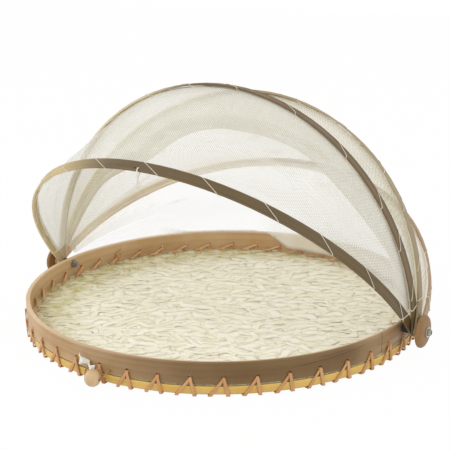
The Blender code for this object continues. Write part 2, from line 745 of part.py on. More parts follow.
def make_bead_tie(parts, material):
    """Tie the bead to the rim with a cord whose two ends are knotted inside the wall."""
    radius, height = bead_centre()
    inner = RIM_INNER_RADIUS - SEAT_GAP
    half = [
        (inner - TIE_KNOT_LENGTH, TIE_SPREAD, TIE_HOLE_HEIGHT, TIE_KNOT_RADIUS / TIE_RADIUS),
        (inner - TIE_RADIUS / 2, TIE_SPREAD, TIE_HOLE_HEIGHT, TIE_KNOT_RADIUS / TIE_RADIUS),
        (inner, TIE_SPREAD, TIE_HOLE_HEIGHT, 1.0),
        (TRAY_RADIUS + TIE_REACH, TIE_SPREAD, TIE_HOLE_HEIGHT, 1.0),
        (radius - BEAD_RADIUS / 2, TIE_SPREAD, (TIE_HOLE_HEIGHT + height) / 2, 1.0),
        (radius - TIE_RADIUS, BEAD_HALF_LENGTH + 2 * TIE_RADIUS, height, 1.0),
        (radius, BEAD_HALF_LENGTH, height, 1.0),
    ]
    lean = math.sin(TIE_SPREAD / TRAY_RADIUS) / TIE_SPREAD
    points = [(r, r * along * lean, z) for r, along, z, share in half]
    points += [(r, -along, z) for r, along, z in reversed(points)]
    shares = [share for r, along, z, share in half]
    shares += list(reversed(shares))
    turn = Matrix.Rotation(stitch_azimuth(BEAD_STITCH), 4, "Z")
    return curve_tube("bead_tie", points, TIE_RADIUS, parts, material, turn, radii=shares)


def loop_centre():
    """Return the turn of the front bow's arc at which its loop hangs."""
    half_span, rise = bow_size(0)
    return math.acos((LOOP_PLACE - BOW_LEAN_SHARE * (rise - BOW_LEAN_START)) / half_span)


def loop_drill(cutters):
    """Make the cutter for the small hole that the loop passes through."""
    across, away = bow_point(0, loop_centre())

    def hole(work):
        spot = Matrix.Translation((across, 0.0, BOW_WIDTH / 2 - LOOP_HOLE_EDGE))
        spot = spot @ Matrix.Rotation(-math.pi / 2, 4, "X")
        low, high = away - BOW_THICKNESS, away + BOW_THICKNESS
        cylinder(work, LOOP_HOLE_RADIUS, low, high, spot, SMALL_HOLE_SIDES)

    return cutter_object("loop_hole", hole, cutters, bow_matrix(BOW_ANGLES[0]))


def make_closing_loop(parts, material):
    """Hang the cord loop in the front bow's hole; it hooks over the bead when the cover is shut."""
    across, away = bow_point(0, loop_centre())
    clear = BOW_THICKNESS / 2 + SEAT_GAP + LOOP_RADIUS
    hole = BOW_WIDTH / 2 - LOOP_HOLE_EDGE
    down = Vector((0.0, -math.sin(LOOP_TILT), math.cos(LOOP_TILT)))
    side = Vector((0.0, math.cos(LOOP_TILT), math.sin(LOOP_TILT)))
    centre = Vector((0.0, away, BOW_WIDTH / 2)) + down * (LOOP_LENGTH - LOOP_WIDTH / 2)
    points = [Vector((0.0, away + clear, hole))]
    points.append(Vector((0.0, away + clear, BOW_WIDTH / 2 + LOOP_RADIUS)))
    for i in range(LOOP_BEND_STEPS + 1):
        turn = math.pi * i / LOOP_BEND_STEPS
        points.append(centre + (side * math.cos(turn) + down * math.sin(turn)) * LOOP_WIDTH / 2)
    points.append(Vector((0.0, away - clear, BOW_WIDTH / 2 + LOOP_RADIUS)))
    points.append(Vector((0.0, away - clear, hole)))
    points = [point + Vector((across, 0.0, 0.0)) for point in points]
    matrix = bow_matrix(BOW_ANGLES[0])
    return curve_tube("closing_loop", points, LOOP_RADIUS, parts, material, matrix, closed=True)


def main():
    """Build the whole part."""
    clear_scene()
    parts = make_collection("mesh_food_cover")
    cutters = make_collection("cutters")
    materials = {
        "rim": make_material("rim_bamboo", BAMBOO, 0.55),
        "hoop": make_material("hoop_bamboo", YELLOW_BAMBOO, 0.5),
        "mat": make_material("split_bamboo_mat", PALE_SPLIT, 0.6),
        "cane": make_material("lacing_cane", CANE, 0.5),
        "bow": make_material("bow_bamboo", DARK_BAMBOO, 0.5),
        "net": make_material("net", NET_WHITE, 0.9),
        "wood": make_material("turned_wood", TURNED_WOOD, 0.5),
        "steel": make_material("plated_steel", STEEL, 0.3, 1.0),
        "rubber": make_material("spacer_rubber", BLACK_RUBBER, 0.7),
        "cotton": make_material("cotton", COTTON, 0.9),
    }
    make_rim_hoop(parts, cutters, materials["rim"])
    make_lower_hoop(parts, materials["hoop"])
    make_floor_mat(parts, cutters, materials["mat"])
    make_rim_lacing(parts, materials["cane"])
    for side, label in ((1, "right"), (-1, "left")):
        make_hinge(side, label, parts, cutters, materials)
    for index in range(len(BOW_NAMES)):
        make_bow(index, parts, cutters, materials["bow"])
    for bow, name in enumerate(NET_ROWS):
        make_net(name, bow, parts, materials["net"])
    make_bead(parts, materials["wood"])
    make_bead_tie(parts, materials["cotton"])
    make_closing_loop(parts, materials["cotton"])


main()
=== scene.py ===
"""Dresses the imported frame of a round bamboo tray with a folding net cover.

The tray's hoops, the hinges and the bows keep their solids and get their finishes here. The floor, the cane
lacing, the nets, the cords and the threads are modelled here in full. Lengths are in metres, in the frame's
own axes: the bolts lie along X, the cover closes towards -Y, and the origin is the middle of the floor's
upper face.
"""
import logging
import math
import random
from collections.abc import Callable, Sequence
from dataclasses import dataclass, field
from enum import Enum

import bmesh
import bpy
from mathutils import Matrix, Vector, noise
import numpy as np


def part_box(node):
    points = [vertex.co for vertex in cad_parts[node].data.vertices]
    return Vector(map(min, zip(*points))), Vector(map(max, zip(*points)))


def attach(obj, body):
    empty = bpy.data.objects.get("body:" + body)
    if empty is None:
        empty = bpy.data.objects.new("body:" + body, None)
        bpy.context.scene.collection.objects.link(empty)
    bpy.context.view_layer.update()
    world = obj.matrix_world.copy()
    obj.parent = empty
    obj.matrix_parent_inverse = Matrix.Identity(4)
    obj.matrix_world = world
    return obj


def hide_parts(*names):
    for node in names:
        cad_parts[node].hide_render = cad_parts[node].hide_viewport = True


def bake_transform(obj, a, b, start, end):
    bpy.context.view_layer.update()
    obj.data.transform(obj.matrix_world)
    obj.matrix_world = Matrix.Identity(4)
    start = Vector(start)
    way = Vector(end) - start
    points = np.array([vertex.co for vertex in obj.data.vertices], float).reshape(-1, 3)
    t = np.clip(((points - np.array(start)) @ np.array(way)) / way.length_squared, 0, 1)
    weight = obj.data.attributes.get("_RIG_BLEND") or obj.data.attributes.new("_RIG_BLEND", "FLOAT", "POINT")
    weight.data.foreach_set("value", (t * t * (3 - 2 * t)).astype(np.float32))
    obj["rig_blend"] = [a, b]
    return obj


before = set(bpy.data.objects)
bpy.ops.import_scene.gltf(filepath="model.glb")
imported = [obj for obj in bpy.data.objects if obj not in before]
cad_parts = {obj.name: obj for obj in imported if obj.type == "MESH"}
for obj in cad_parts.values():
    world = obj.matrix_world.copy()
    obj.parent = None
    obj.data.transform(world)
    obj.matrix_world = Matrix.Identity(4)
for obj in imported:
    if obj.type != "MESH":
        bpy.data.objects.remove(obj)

log = logging.getLogger("food_cover")
Color = tuple[float, float, float, float]
Socket, Outputs, Tree = bpy.types.NodeSocket, bpy.types.bpy_prop_collection, bpy.types.NodeTree
Material, Piece, Work = bpy.types.Material, bpy.types.Object, bmesh.types.BMesh


def seen(red: int, green: int, blue: int) -> Color:
    """Turn a colour as the eye reads it on a screen into the linear one that a shader takes.

    Args:
        red: Red, from 0 to 255.
        green: Green, from 0 to 255.
        blue: Blue, from 0 to 255.

    Returns:
        The linear colour with an alpha of 1.
    """
    parts = [value / 255 for value in (red, green, blue)]
    linear = [p / 12.92 if p <= 0.04045 else ((p + 0.055) / 1.055) ** 2.4 for p in parts]
    return (linear[0], linear[1], linear[2], 1.0)


@dataclass(frozen=True)
class TraySizes:
    """The sizes that the tray's pieces share."""

    radius: float = 0.200
    rim_inner: float = 0.1955
    rim_top: float = 0.0211
    hoop_inner: float = 0.195
    hoop_bottom: float = -0.0095
    ground: float = -0.0106
    hinge_height: float = 0.0140
    stitches: int = 43
    first_stitch: float = math.radians(0.4)

    def stitch_azimuth(self, index: int) -> float:
        """Return the azimuth of a lacing hole."""
        return self.first_stitch + index * math.tau / self.stitches


TRAY = TraySizes()


class GroupName(Enum):
    """The shader groups that materials share."""

    RING_COORDINATES = "ring_coordinates"
    SPLIT_GRAIN = "split_grain"
    HANDLING = "handling_marks"
    NET_THREADS = "net_threads"


class ShaderSketch:
    """Adds nodes to one shader tree."""

    def __init__(self, tree: Tree) -> None:
        """Keep the tree."""
        self.tree = tree

    def join(self, value: object, node: bpy.types.Node, key: str | int) -> None:
        """Feed an input of a node.

        Args:
            value: The output socket or plain value to feed it with.
            node: The node.
            key: The name or number of its input.
        """
        if isinstance(value, Socket):
            self.tree.links.new(value, node.inputs[key])
        else:
            node.inputs[key].default_value = value

    def add(self, kind: str, inputs: dict | None = None, **settings: object) -> bpy.types.Node:
        """Add one node and feed it.

        Args:
            kind: The node's type, without ShaderNode.
            inputs: Values or output sockets, by the name or number of the input.
            settings: The node's own properties.

        Returns:
            The new node.
        """
        node = self.tree.nodes.new("ShaderNode" + kind)
        for key, value in settings.items():
            setattr(node, key, value)
        for key, value in (inputs or {}).items():
            self.join(value, node, key)
        return node

    def group(self, name: GroupName, **inputs: object) -> Outputs:
        """Place a shared group.

        Args:
            name: Which group.
            inputs: Values or output sockets by the input's name, with underscores for spaces.

        Returns:
            The outputs of the group's node.
        """
        fed = {key.replace("_", " "): value for key, value in inputs.items()}
        return self.add("Group", fed, node_tree=bpy.data.node_groups[name.value]).outputs

    def calc(self, operation: str, *values: object) -> Socket:
        """Add a Math node and return its output."""
        return self.add("Math", dict(enumerate(values)), operation=operation).outputs[0]

    def times(self, first: object, second: object) -> Socket:
        """Multiply two values."""
        return self.calc("MULTIPLY", first, second)

    def plus(self, first: object, second: object) -> Socket:
        """Add two values."""
        return self.calc("ADD", first, second)

    def minus(self, first: object, second: object) -> Socket:
        """Subtract the second value from the first."""
        return self.calc("SUBTRACT", first, second)

    def place(self) -> Socket:
        """Return the place on the object, in its own axes."""
        return self.add("TexCoord").outputs["Object"]

    def axes(self, vector: object) -> Outputs:
        """Split a vector into its three values."""
        return self.add("SeparateXYZ", {0: vector}).outputs

    def span(
        self, value: object, low: float, high: float, to_low: float = 0.0, to_high: float = 1.0
    ) -> Socket:
        """Map a value from one span to another, smoothly.

        Args:
            value: The socket to map.
            low: The value that gives to_low.
            high: The value that gives to_high.
            to_low: The result at low.
            to_high: The result at high.

        Returns:
            The mapped output socket.
        """
        inputs = {0: value, 1: low, 2: high, 3: to_low, 4: to_high}
        return self.add("MapRange", inputs, interpolation_type="SMOOTHSTEP").outputs[0]

    def blend(self, factor: object, first: object, second: object) -> Socket:
        """Mix two colours and return the result."""
        return self.add("Mix", {0: factor, 6: first, 7: second}, data_type="RGBA").outputs[2]

    def tints(self, tone: object, *layers: tuple) -> Socket:
        """Lay colours over a tone.

        Args:
            tone: The colour underneath.
            layers: For each layer: the mask where it shows, its strongest share and its colour.

        Returns:
            The tinted colour.
        """
        for mask, share, colour in layers:
            tone = self.blend(self.times(mask, share), tone, colour)
        return tone

    def cloud(
        self, vector: object, scale: float, detail: float = 3.0, roughness: float = 0.5
    ) -> Socket:
        """Add a noise texture.

        Args:
            vector: Where it is read.
            scale: Features per metre.
            detail: How many octaves.
            roughness: How strong the fine octaves are.

        Returns:
            The noise as a value from 0 to 1.
        """
        inputs = {"Vector": vector, "Scale": scale, "Detail": detail, "Roughness": roughness}
        return self.add("TexNoise", inputs).outputs[0]


class ShaderGroups:
    """Builds each shared shader group once."""

    def __init__(self) -> None:
        """Build the groups."""
        self.ring_coordinates()
        self.split_grain()
        self.handling_marks()
        self.net_threads()

    @staticmethod
    def start(name: GroupName, inputs: dict[str, float | None], outputs: Sequence[str]) -> tuple:
        """Make an empty group with its sockets.

        Args:
            name: The group's name.
            inputs: The name and default of each input. One without a default is a vector.
            outputs: The name of each output. The name Unrolled stands for a vector, and the rest are values.

        Returns:
            The sketch, the outputs of the group's input node and the group's output node.
        """
        tree = bpy.data.node_groups.new(name.value, "ShaderNodeTree")
        for label, default in inputs.items():
            kind = "NodeSocketVector" if default is None else "NodeSocketFloat"
            socket = tree.interface.new_socket(name=label, in_out="INPUT", socket_type=kind)
            if default is not None:
                socket.default_value = default
        for label in outputs:
            kind = "NodeSocketVector" if label == "Unrolled" else "NodeSocketFloat"
            tree.interface.new_socket(name=label, in_out="OUTPUT", socket_type=kind)
        return ShaderSketch(tree), tree.nodes.new("NodeGroupInput").outputs, tree.nodes.new("NodeGroupOutput")

    def ring_coordinates(self) -> None:
        """Unroll a hoop or bow: metres along it, across it and out from its middle."""
        sketch, given, result = self.start(
            GroupName.RING_COORDINATES, {"Tilt": 0.0, "Lift": 0.0}, ("Unrolled", "Along", "Across", "Out")
        )
        lift = sketch.add("CombineXYZ", {2: given["Lift"]}).outputs[0]
        level = sketch.add("VectorMath", {0: sketch.place(), 1: lift}, operation="SUBTRACT").outputs[0]
        spin = {"Vector": level, "Angle": sketch.times(given["Tilt"], -1.0)}
        axes = sketch.axes(sketch.add("VectorRotate", spin, rotation_type="X_AXIS").outputs[0])
        around = sketch.calc("ABSOLUTE", sketch.calc("ARCTAN2", axes[1], axes[0]))
        along = sketch.times(around, TRAY.radius)
        squares = [sketch.calc("POWER", axis, 2.0) for axis in (axes[0], axes[1])]
        out = sketch.calc("SQRT", sketch.plus(*squares))
        unrolled = sketch.add("CombineXYZ", {0: along, 1: axes[2], 2: out}).outputs[0]
        for socket, label in ((unrolled, "Unrolled"), (along, "Along"), (axes[2], "Across"), (out, "Out")):
            sketch.join(socket, result, label)

    def split_grain(self) -> None:
        """Draw the fibres, streaks and knots of split bamboo or wood along the first axis."""
        inputs = {"Vector": None, "Fibre Length": 0.03, "Fibre Width": 0.0006}
        sketch, given, result = self.start(GroupName.SPLIT_GRAIN, inputs, ("Fibre", "Streak", "Height"))
        run = sketch.calc("DIVIDE", 1.0, given["Fibre Length"])
        fine = sketch.calc("DIVIDE", 1.0, given["Fibre Width"])
        scales = sketch.add("CombineXYZ", {0: run, 1: fine, 2: fine}).outputs[0]
        vector = sketch.add("VectorMath", {0: given["Vector"], 1: scales}, operation="MULTIPLY").outputs[0]
        wider = sketch.add("VectorMath", {0: vector, 3: 0.13}, operation="SCALE").outputs[0]
        fibre, streak = sketch.cloud(vector, 1.0, 3.0, 0.6), sketch.cloud(wider, 1.0, 2.0)
        sketch.join(sketch.span(fibre, 0.25, 0.75), result, "Fibre")
        sketch.join(sketch.span(streak, 0.3, 0.7), result, "Streak")
        sketch.join(sketch.plus(fibre, sketch.times(streak, 0.5)), result, "Height")

    def handling_marks(self) -> None:
        """Draw soft uneven patches, as handling and drying leave them, and small dark specks."""
        inputs = {"Vector": None, "Patch": 0.05, "Speck": 0.002}
        sketch, given, result = self.start(GroupName.HANDLING, inputs, ("Patches", "Specks"))
        wide = sketch.calc("DIVIDE", 1.0, given["Patch"])
        close = sketch.calc("DIVIDE", 1.0, given["Speck"])
        patches = sketch.cloud(given["Vector"], wide, 2.0)
        specks = sketch.cloud(given["Vector"], close, 2.0, 0.7)
        sketch.join(sketch.span(patches, 0.35, 0.65), result, "Patches")
        sketch.join(sketch.span(specks, 0.62, 0.72), result, "Specks")

    def net_threads(self) -> None:
        """Draw a knotless net of small diamonds from a cloth's own flat coordinates."""
        inputs = {"Vector": None, "Pitch": 0.002, "Openness": 0.6}
        sketch, given, result = self.start(GroupName.NET_THREADS, inputs, ("Thread", "Height"))
        axes = sketch.axes(given["Vector"])
        turns = sketch.calc("DIVIDE", math.tau, given["Pitch"])
        waves = []
        for operation in ("ADD", "SUBTRACT"):
            slanted = sketch.times(sketch.calc(operation, axes[0], axes[1]), 0.7071)
            waves.append(sketch.calc("COSINE", sketch.times(slanted, turns)))
        ridge = sketch.calc("MAXIMUM", *waves)
        softer = sketch.plus(given["Openness"], 0.35)
        thread = sketch.add("MapRange", {0: ridge, 1: given["Openness"], 2: softer}).outputs[0]
        sketch.join(thread, result, "Thread")
        sketch.join(ridge, result, "Height")


def start_material(name: str, roughness: float, **constants: float) -> tuple:
    """Make a material with a Principled shader.

    Args:
        name: The material's name.
        roughness: Its plain roughness.
        constants: Other shader inputs, with underscores for spaces.

    Returns:
        The material, its sketch and its Principled node.
    """
    material = bpy.data.materials.new(name)
    material.use_nodes = True
    shader = material.node_tree.nodes["Principled BSDF"]
    shader.inputs["Roughness"].default_value = roughness
    for key, value in constants.items():
        shader.inputs[key.replace("_", " ")].default_value = value
    return material, ShaderSketch(material.node_tree), shader


def surface(
    sketch: ShaderSketch, shader: bpy.types.Node, tone: Socket, height: Socket, distance: float
) -> None:
    """Give a shader its colour and its relief.

    Args:
        sketch: The material's sketch.
        shader: Its Principled node.
        tone: The colour.
        height: The relief's height.
        distance: How high it stands at most.
    """
    sketch.join(tone, shader, "Base Color")
    bump = sketch.add("Bump", {"Height": height, "Distance": distance, "Strength": 1.0})
    sketch.join(bump.outputs[0], shader, "Normal")


@dataclass(frozen=True)
class SplitBamboo:
    """Bent split bamboo: fibres along the bend, streaks, handling marks, paler worn edges and painted shade
    towards +X.
    """

    name: str
    body: Color
    dark: Color
    worn: Color
    tilt: float = 0.0
    lift: float = 0.0
    middle: float = 0.0
    half_width: float = 0.005
    roughness: float = 0.5
    checks: float = 0.0
    lap_place: float = 0.0395
    crack_lines: tuple = ((0.0196, -0.062, 0.060, 0.150), (0.0158, 0.005, 0.075, 0.125))
    crack_tone: Color = seen(74, 54, 34)
    # Painted shade: the colour is multiplied towards this tone on the +X side, away from the key lamp, over
    # the X span below.
    painted_shade_tone: Color | None = None
    painted_shade_span: tuple[float, float] = (-0.10, -0.03)

    @staticmethod
    def outer_face(sketch: ShaderSketch, ring: Outputs) -> Socket:
        """Return a mask of the rim's outer face."""
        return sketch.span(ring["Out"], 0.1975, 0.1985)

    def cracks(self, sketch: ShaderSketch, ring: Outputs) -> Socket:
        """Draw the lapped end and two long cracks that climb the outer face at the right front.

        Args:
            sketch: The material's sketch.
            ring: The unrolled coordinates.

        Returns:
            The lines as a mask.
        """
        along = ring["Along"]
        wave = sketch.times(sketch.cloud(ring["Unrolled"], 90.0, 3.0), 0.0022)
        bend = sketch.times(sketch.cloud(ring["Unrolled"], 160.0, 2.0), 0.0012)
        end = sketch.calc("ABSOLUTE", sketch.minus(sketch.plus(along, bend), self.lap_place))
        cover = sketch.span(end, 0.0002, 0.0006, 1.0, 0.0)
        for foot, slope, first, last in self.crack_lines:
            line = sketch.plus(sketch.calc("MULTIPLY_ADD", along, slope, foot), wave)
            near = sketch.calc("ABSOLUTE", sketch.minus(ring["Across"], line))
            thin = sketch.span(near, 0.0001, 0.0004, 1.0, 0.0)
            begun = sketch.span(along, first, first + 0.01)
            ended = sketch.span(along, last - 0.02, last, 1.0, 0.0)
            cover = sketch.calc("MAXIMUM", cover, sketch.times(thin, sketch.times(begun, ended)))
        front = sketch.span(sketch.axes(sketch.place())[1], -0.005, 0.0, 1.0, 0.0)
        return sketch.times(sketch.times(cover, self.outer_face(sketch, ring)), front)

    def build(self) -> Material:
        """Build the material.

        Returns:
            The material.
        """
        material, sketch, shader = start_material(self.name, self.roughness)
        ring = sketch.group(GroupName.RING_COORDINATES, Tilt=self.tilt, Lift=self.lift)
        unrolled = ring["Unrolled"]
        grain = sketch.group(GroupName.SPLIT_GRAIN, Vector=unrolled)
        marks = sketch.group(GroupName.HANDLING, Vector=unrolled)
        reach = sketch.calc("ABSOLUTE", sketch.minus(ring["Across"], self.middle))
        edge = sketch.span(reach, self.half_width * 0.80, self.half_width)
        tone = sketch.tints(
            self.body, (grain["Streak"], 0.55, self.dark), (grain["Fibre"], 0.22, self.dark),
            (marks["Patches"], 0.30, self.worn), (marks["Specks"], 0.35, self.dark), (edge, 0.5, self.worn),
        )
        if self.checks:
            stretched = sketch.add("VectorMath", {0: unrolled, 1: (60.0, 220.0, 60.0)}, operation="MULTIPLY")
            cells = sketch.add(
                "TexVoronoi", {"Vector": stretched.outputs[0], "Scale": 1.0}, feature="DISTANCE_TO_EDGE"
            )
            near = sketch.span(cells.outputs["Distance"], 0.0, 0.02, 1.0, 0.0)
            rare = sketch.span(sketch.cloud(unrolled, 25.0, 1.0), 0.60, 0.66)
            tone = sketch.tints(
                tone, (sketch.times(near, rare), self.checks, self.dark),
                (self.cracks(sketch, ring), 0.8, self.crack_tone),
            )
        # Painted shade: darker towards +X, the side away from the key lamp; on the rim only on its outer face,
        # and less at its far right end.
        if self.painted_shade_tone:
            place = sketch.axes(sketch.place())[0]
            both = {0: 1.0, 6: tone, 7: self.painted_shade_tone}
            painted_shade_mix = sketch.add("Mix", both, data_type="RGBA", blend_type="MULTIPLY")
            reach = sketch.span(place, *self.painted_shade_span)
            if self.checks:
                reach = sketch.times(reach, self.outer_face(sketch, ring))
                reach = sketch.times(reach, sketch.span(place, 0.180, 0.200, 1.0, 0.5))
            tone = sketch.blend(reach, tone, painted_shade_mix.outputs[2])
        rough = sketch.span(grain["Streak"], 0.0, 1.0, self.roughness - 0.08, self.roughness + 0.12)
        sketch.join(rough, shader, "Roughness")
        surface(sketch, shader, tone, grain["Height"], 0.00012)
        return material


@dataclass(frozen=True)
class WeftBamboo:
    """Thin pale splits of the woven floor: cream, with painted shade that greens the low parts of the weave,
    the floats' edges and a band near the rim.
    """

    name: str
    cream: Color
    green: Color
    shade: Color

    def build(self) -> Material:
        """Build the material.

        Returns:
            The material.
        """
        material, sketch, shader = start_material(self.name, 0.42)
        place, flat = sketch.place(), sketch.add("UVMap", uv_map="along").outputs[0]
        grain = sketch.group(GroupName.SPLIT_GRAIN, Vector=flat, Fibre_Width=0.0012)
        marks = sketch.group(GroupName.HANDLING, Vector=place, Patch=0.014, Speck=0.004)
        axes = sketch.axes(place)
        # Painted shade: the parts lying low in the weave take the shade colour.
        low = sketch.span(axes[2], -0.0012, -0.0004, 1.0, 0.0)
        own = sketch.span(sketch.cloud(flat, 9.0, 1.0), 0.42, 0.62)
        level = sketch.add("CombineXYZ", {0: axes[0], 1: axes[1]}).outputs[0]
        away = sketch.add("VectorMath", {0: level}, operation="LENGTH").outputs["Value"]
        # Painted shade: a band near the rim, wider at -X and the rear, takes the shade colour, broken up by
        # the patches.
        lean = sketch.minus(sketch.times(axes[1], 0.05), sketch.times(axes[0], 0.26))
        rim = sketch.span(sketch.plus(away, lean), 0.155, 0.216)
        rim = sketch.times(rim, sketch.span(marks["Patches"], 0.0, 1.0, 0.50, 1.0))
        # Painted shade along each float's edges, read from the edge attribute.
        outline = sketch.span(sketch.add("Attribute", attribute_name="edge").outputs["Fac"], 0.35, 1.0)
        tone = sketch.tints(
            self.cream, (own, 0.55, self.green), (grain["Streak"], 0.25, self.green),
            (marks["Patches"], 0.30, self.green), (outline, 0.22, self.shade), (rim, 0.9, self.shade),
            (low, 0.35, self.shade),
        )
        surface(sketch, shader, tone, grain["Height"], 0.0003)
        return material


@dataclass(frozen=True)
class Cane:
    """Flat orange cane: fibres along the strip and darker soaked patches."""

    name: str
    body: Color
    dark: Color

    def build(self) -> Material:
        """Build the material.

        Returns:
            The material.
        """
        material, sketch, shader = start_material(self.name, 0.48)
        flat = sketch.add("UVMap", uv_map="along").outputs[0]
        grain = sketch.group(GroupName.SPLIT_GRAIN, Vector=flat, Fibre_Length=0.02, Fibre_Width=0.0004)
        marks = sketch.group(GroupName.HANDLING, Vector=sketch.place(), Patch=0.02)
        tone = sketch.tints(self.body, (grain["Fibre"], 0.35, self.dark), (marks["Patches"], 0.4, self.dark))
        surface(sketch, shader, tone, grain["Height"], 0.0001)
        return material


@dataclass(frozen=True)
class TurnedWood:
    """Bare turned wood with straight grain through the piece and fine tool rings."""

    name: str
    body: Color
    dark: Color
    centre: tuple[float, float, float]
    grain_turn: float = 0.4
    ring_pace: float = 9000.0

    def build(self) -> Material:
        """Build the material.

        Returns:
            The material.
        """
        material, sketch, shader = start_material(self.name, 0.45)
        place = sketch.place()
        local = sketch.add("VectorMath", {0: place, 1: self.centre}, operation="SUBTRACT").outputs[0]
        spin = {"Vector": local, "Angle": self.grain_turn}
        axes = sketch.axes(sketch.add("VectorRotate", spin, rotation_type="X_AXIS").outputs[0])
        lengthwise = sketch.add("CombineXYZ", {0: axes[2], 1: axes[1], 2: axes[0]}).outputs[0]
        grain = sketch.group(GroupName.SPLIT_GRAIN, Vector=lengthwise, Fibre_Width=0.001)
        marks = sketch.group(GroupName.HANDLING, Vector=place, Patch=0.012)
        tone = sketch.tints(
            self.body, (grain["Streak"], 0.6, self.dark), (grain["Fibre"], 0.25, self.dark),
            (marks["Patches"], 0.25, self.dark),
        )
        away = sketch.add("VectorMath", {0: lengthwise}, operation="LENGTH").outputs["Value"]
        rings = sketch.calc("SINE", sketch.times(away, self.ring_pace))
        surface(sketch, shader, tone, sketch.plus(grain["Height"], sketch.times(rings, 0.3)), 6e-5)
        return material


@dataclass(frozen=True)
class DullSolid:
    """Metal, rubber or cotton: one body colour with patches, specks and a fine surface."""

    name: str
    body: Color
    soiled: Color
    roughness: float
    metallic: float = 0.0
    grain: float = 0.0004
    depth: float = 3e-5

    def build(self) -> Material:
        """Build the material.

        Returns:
            The material.
        """
        material, sketch, shader = start_material(self.name, self.roughness, Metallic=self.metallic)
        place = sketch.place()
        marks = sketch.group(GroupName.HANDLING, Vector=place, Patch=0.004, Speck=0.0008)
        tone = sketch.tints(self.body, *((marks[mark], 0.5, self.soiled) for mark in ("Patches", "Specks")))
        rough = sketch.span(marks["Patches"], 0.0, 1.0, self.roughness, min(1.0, self.roughness + 0.2))
        sketch.join(rough, shader, "Roughness")
        surface(sketch, shader, tone, sketch.cloud(place, 1 / self.grain, 2.0), self.depth)
        return material


@dataclass(frozen=True)
class NetCloth:
    """Fine off-white net: see-through between its threads, denser in its hems, with a faint painted glow."""

    name: str
    thread: Color
    soiled: Color
    cover: tuple[float, float] = (0.20, 0.78)
    airy_from: tuple[float, float] | None = None
    # Painted light: the threads glow faintly in their own colour.
    glow: float = 0.04
    pitch: float = 0.0018
    openness: float = 0.45

    def build(self) -> Material:
        """Build the material.

        Returns:
            The material.
        """
        material, sketch, shader = start_material(self.name, 0.8)
        material.surface_render_method = "BLENDED"
        flat = sketch.add("UVMap", uv_map="cloth").outputs[0]
        net = sketch.group(GroupName.NET_THREADS, Vector=flat, Pitch=self.pitch, Openness=self.openness)
        marks = sketch.group(GroupName.HANDLING, Vector=flat, Patch=0.04)
        tone = sketch.tints(self.thread, (marks["Patches"], 0.4, self.soiled))
        cover = sketch.span(net["Thread"], 0.0, 1.0, *self.cover)
        if self.airy_from:
            along = sketch.axes(flat)[0]
            tone = sketch.blend(sketch.span(along, *self.airy_from, 0.8, 0.0), tone, self.soiled)
            cover = sketch.times(cover, sketch.span(along, *self.airy_from, 2.3, 1.0))
        hem = sketch.add("Attribute", attribute_name="hem").outputs["Fac"]
        clear = sketch.times(sketch.minus(1.0, cover), sketch.calc("MULTIPLY_ADD", hem, -0.62, 1.0))
        rays = sketch.add("LightPath").outputs
        scattered = sketch.calc("MAXIMUM", rays["Is Shadow Ray"], rays["Is Diffuse Ray"])
        alpha = sketch.times(sketch.minus(1.0, clear), sketch.calc("MULTIPLY_ADD", scattered, -0.65, 1.0))
        sketch.join(alpha, shader, "Alpha")
        # Painted light: a faint glow in the threads' colour.
        sketch.join(tone, shader, "Emission Color")
        shader.inputs["Emission Strength"].default_value = self.glow
        surface(sketch, shader, tone, net["Height"], 0.0001)
        return material


def add_object(name: str, data: bpy.types.ID, material: Material) -> Piece:
    """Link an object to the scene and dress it.

    Args:
        name: The piece's name.
        data: Its mesh or curve.
        material: Its material.

    Returns:
        The new object.
    """
    piece = bpy.data.objects.new(name, data)
    bpy.context.scene.collection.objects.link(piece)
    data.materials.append(material)
    return piece


def to_mesh(name: str, work: Work) -> bpy.types.Mesh:
    """Turn a bmesh into a smooth mesh.

    Args:
        name: The mesh's name.
        work: The bmesh, which is freed.

    Returns:
        The mesh.
    """
    mesh = bpy.data.meshes.new(name)
    work.to_mesh(mesh)
    work.free()
    mesh.shade_smooth()
    return mesh


def uneven(x: float, y: float, z: float) -> float:
    """Return a value between -1 and 1 that changes smoothly and at random from place to place."""
    return noise.noise(Vector((x, y, z)))


def ease(value: float) -> float:
    """Clamp a value to 0 to 1 and round off both ends."""
    share = min(1.0, max(0.0, value))
    return share * share * (3 - 2 * share)


def fill_grid(
    work: Work, grid: Sequence, layer: object = None, place: Callable | None = None, flip: bool = False
) -> None:
    """Span a grid of corners with faces.

    Args:
        work: The bmesh that holds the corners.
        grid: The corners, line by line.
        layer: The layer that takes the faces' flat coordinates.
        place: Gives the flat coordinates at a line and a corner.
        flip: Whether the faces look the other way.
    """
    for i in range(len(grid) - 1):
        for k in range(len(grid[i]) - 1):
            spots = [(i, k), (i + 1, k), (i + 1, k + 1), (i, k + 1)]
            if flip:
                spots.reverse()
            face = work.faces.new([grid[a][b] for a, b in spots])
            if layer:
                for loop, spot in zip(face.loops, spots):
                    loop[layer].uv = place(*spot)


def through(points: Sequence[Vector], steps: int, closed: bool = False) -> list[Vector]:
    """Draw a smooth path through points.

    Args:
        points: The points.
        steps: How many steps lie between two of them.
        closed: Whether the path runs on from its last point to its first.

    Returns:
        The path's points.
    """
    path = []
    count = len(points)
    for i in range(count if closed else count - 1):
        numbers = range(i - 1, i + 3)
        near = [points[k % count if closed else min(max(k, 0), count - 1)] for k in numbers]
        for k in range(steps):
            s = k / steps
            a = near[0] * (-0.5 * s + s * s - 0.5 * s**3)
            b = near[1] * (1 - 2.5 * s * s + 1.5 * s**3)
            c = near[2] * (0.5 * s + 2 * s * s - 1.5 * s**3)
            path.append(a + b + c + near[3] * (-0.5 * s * s + 0.5 * s**3))
    return path if closed else path + [points[-1]]


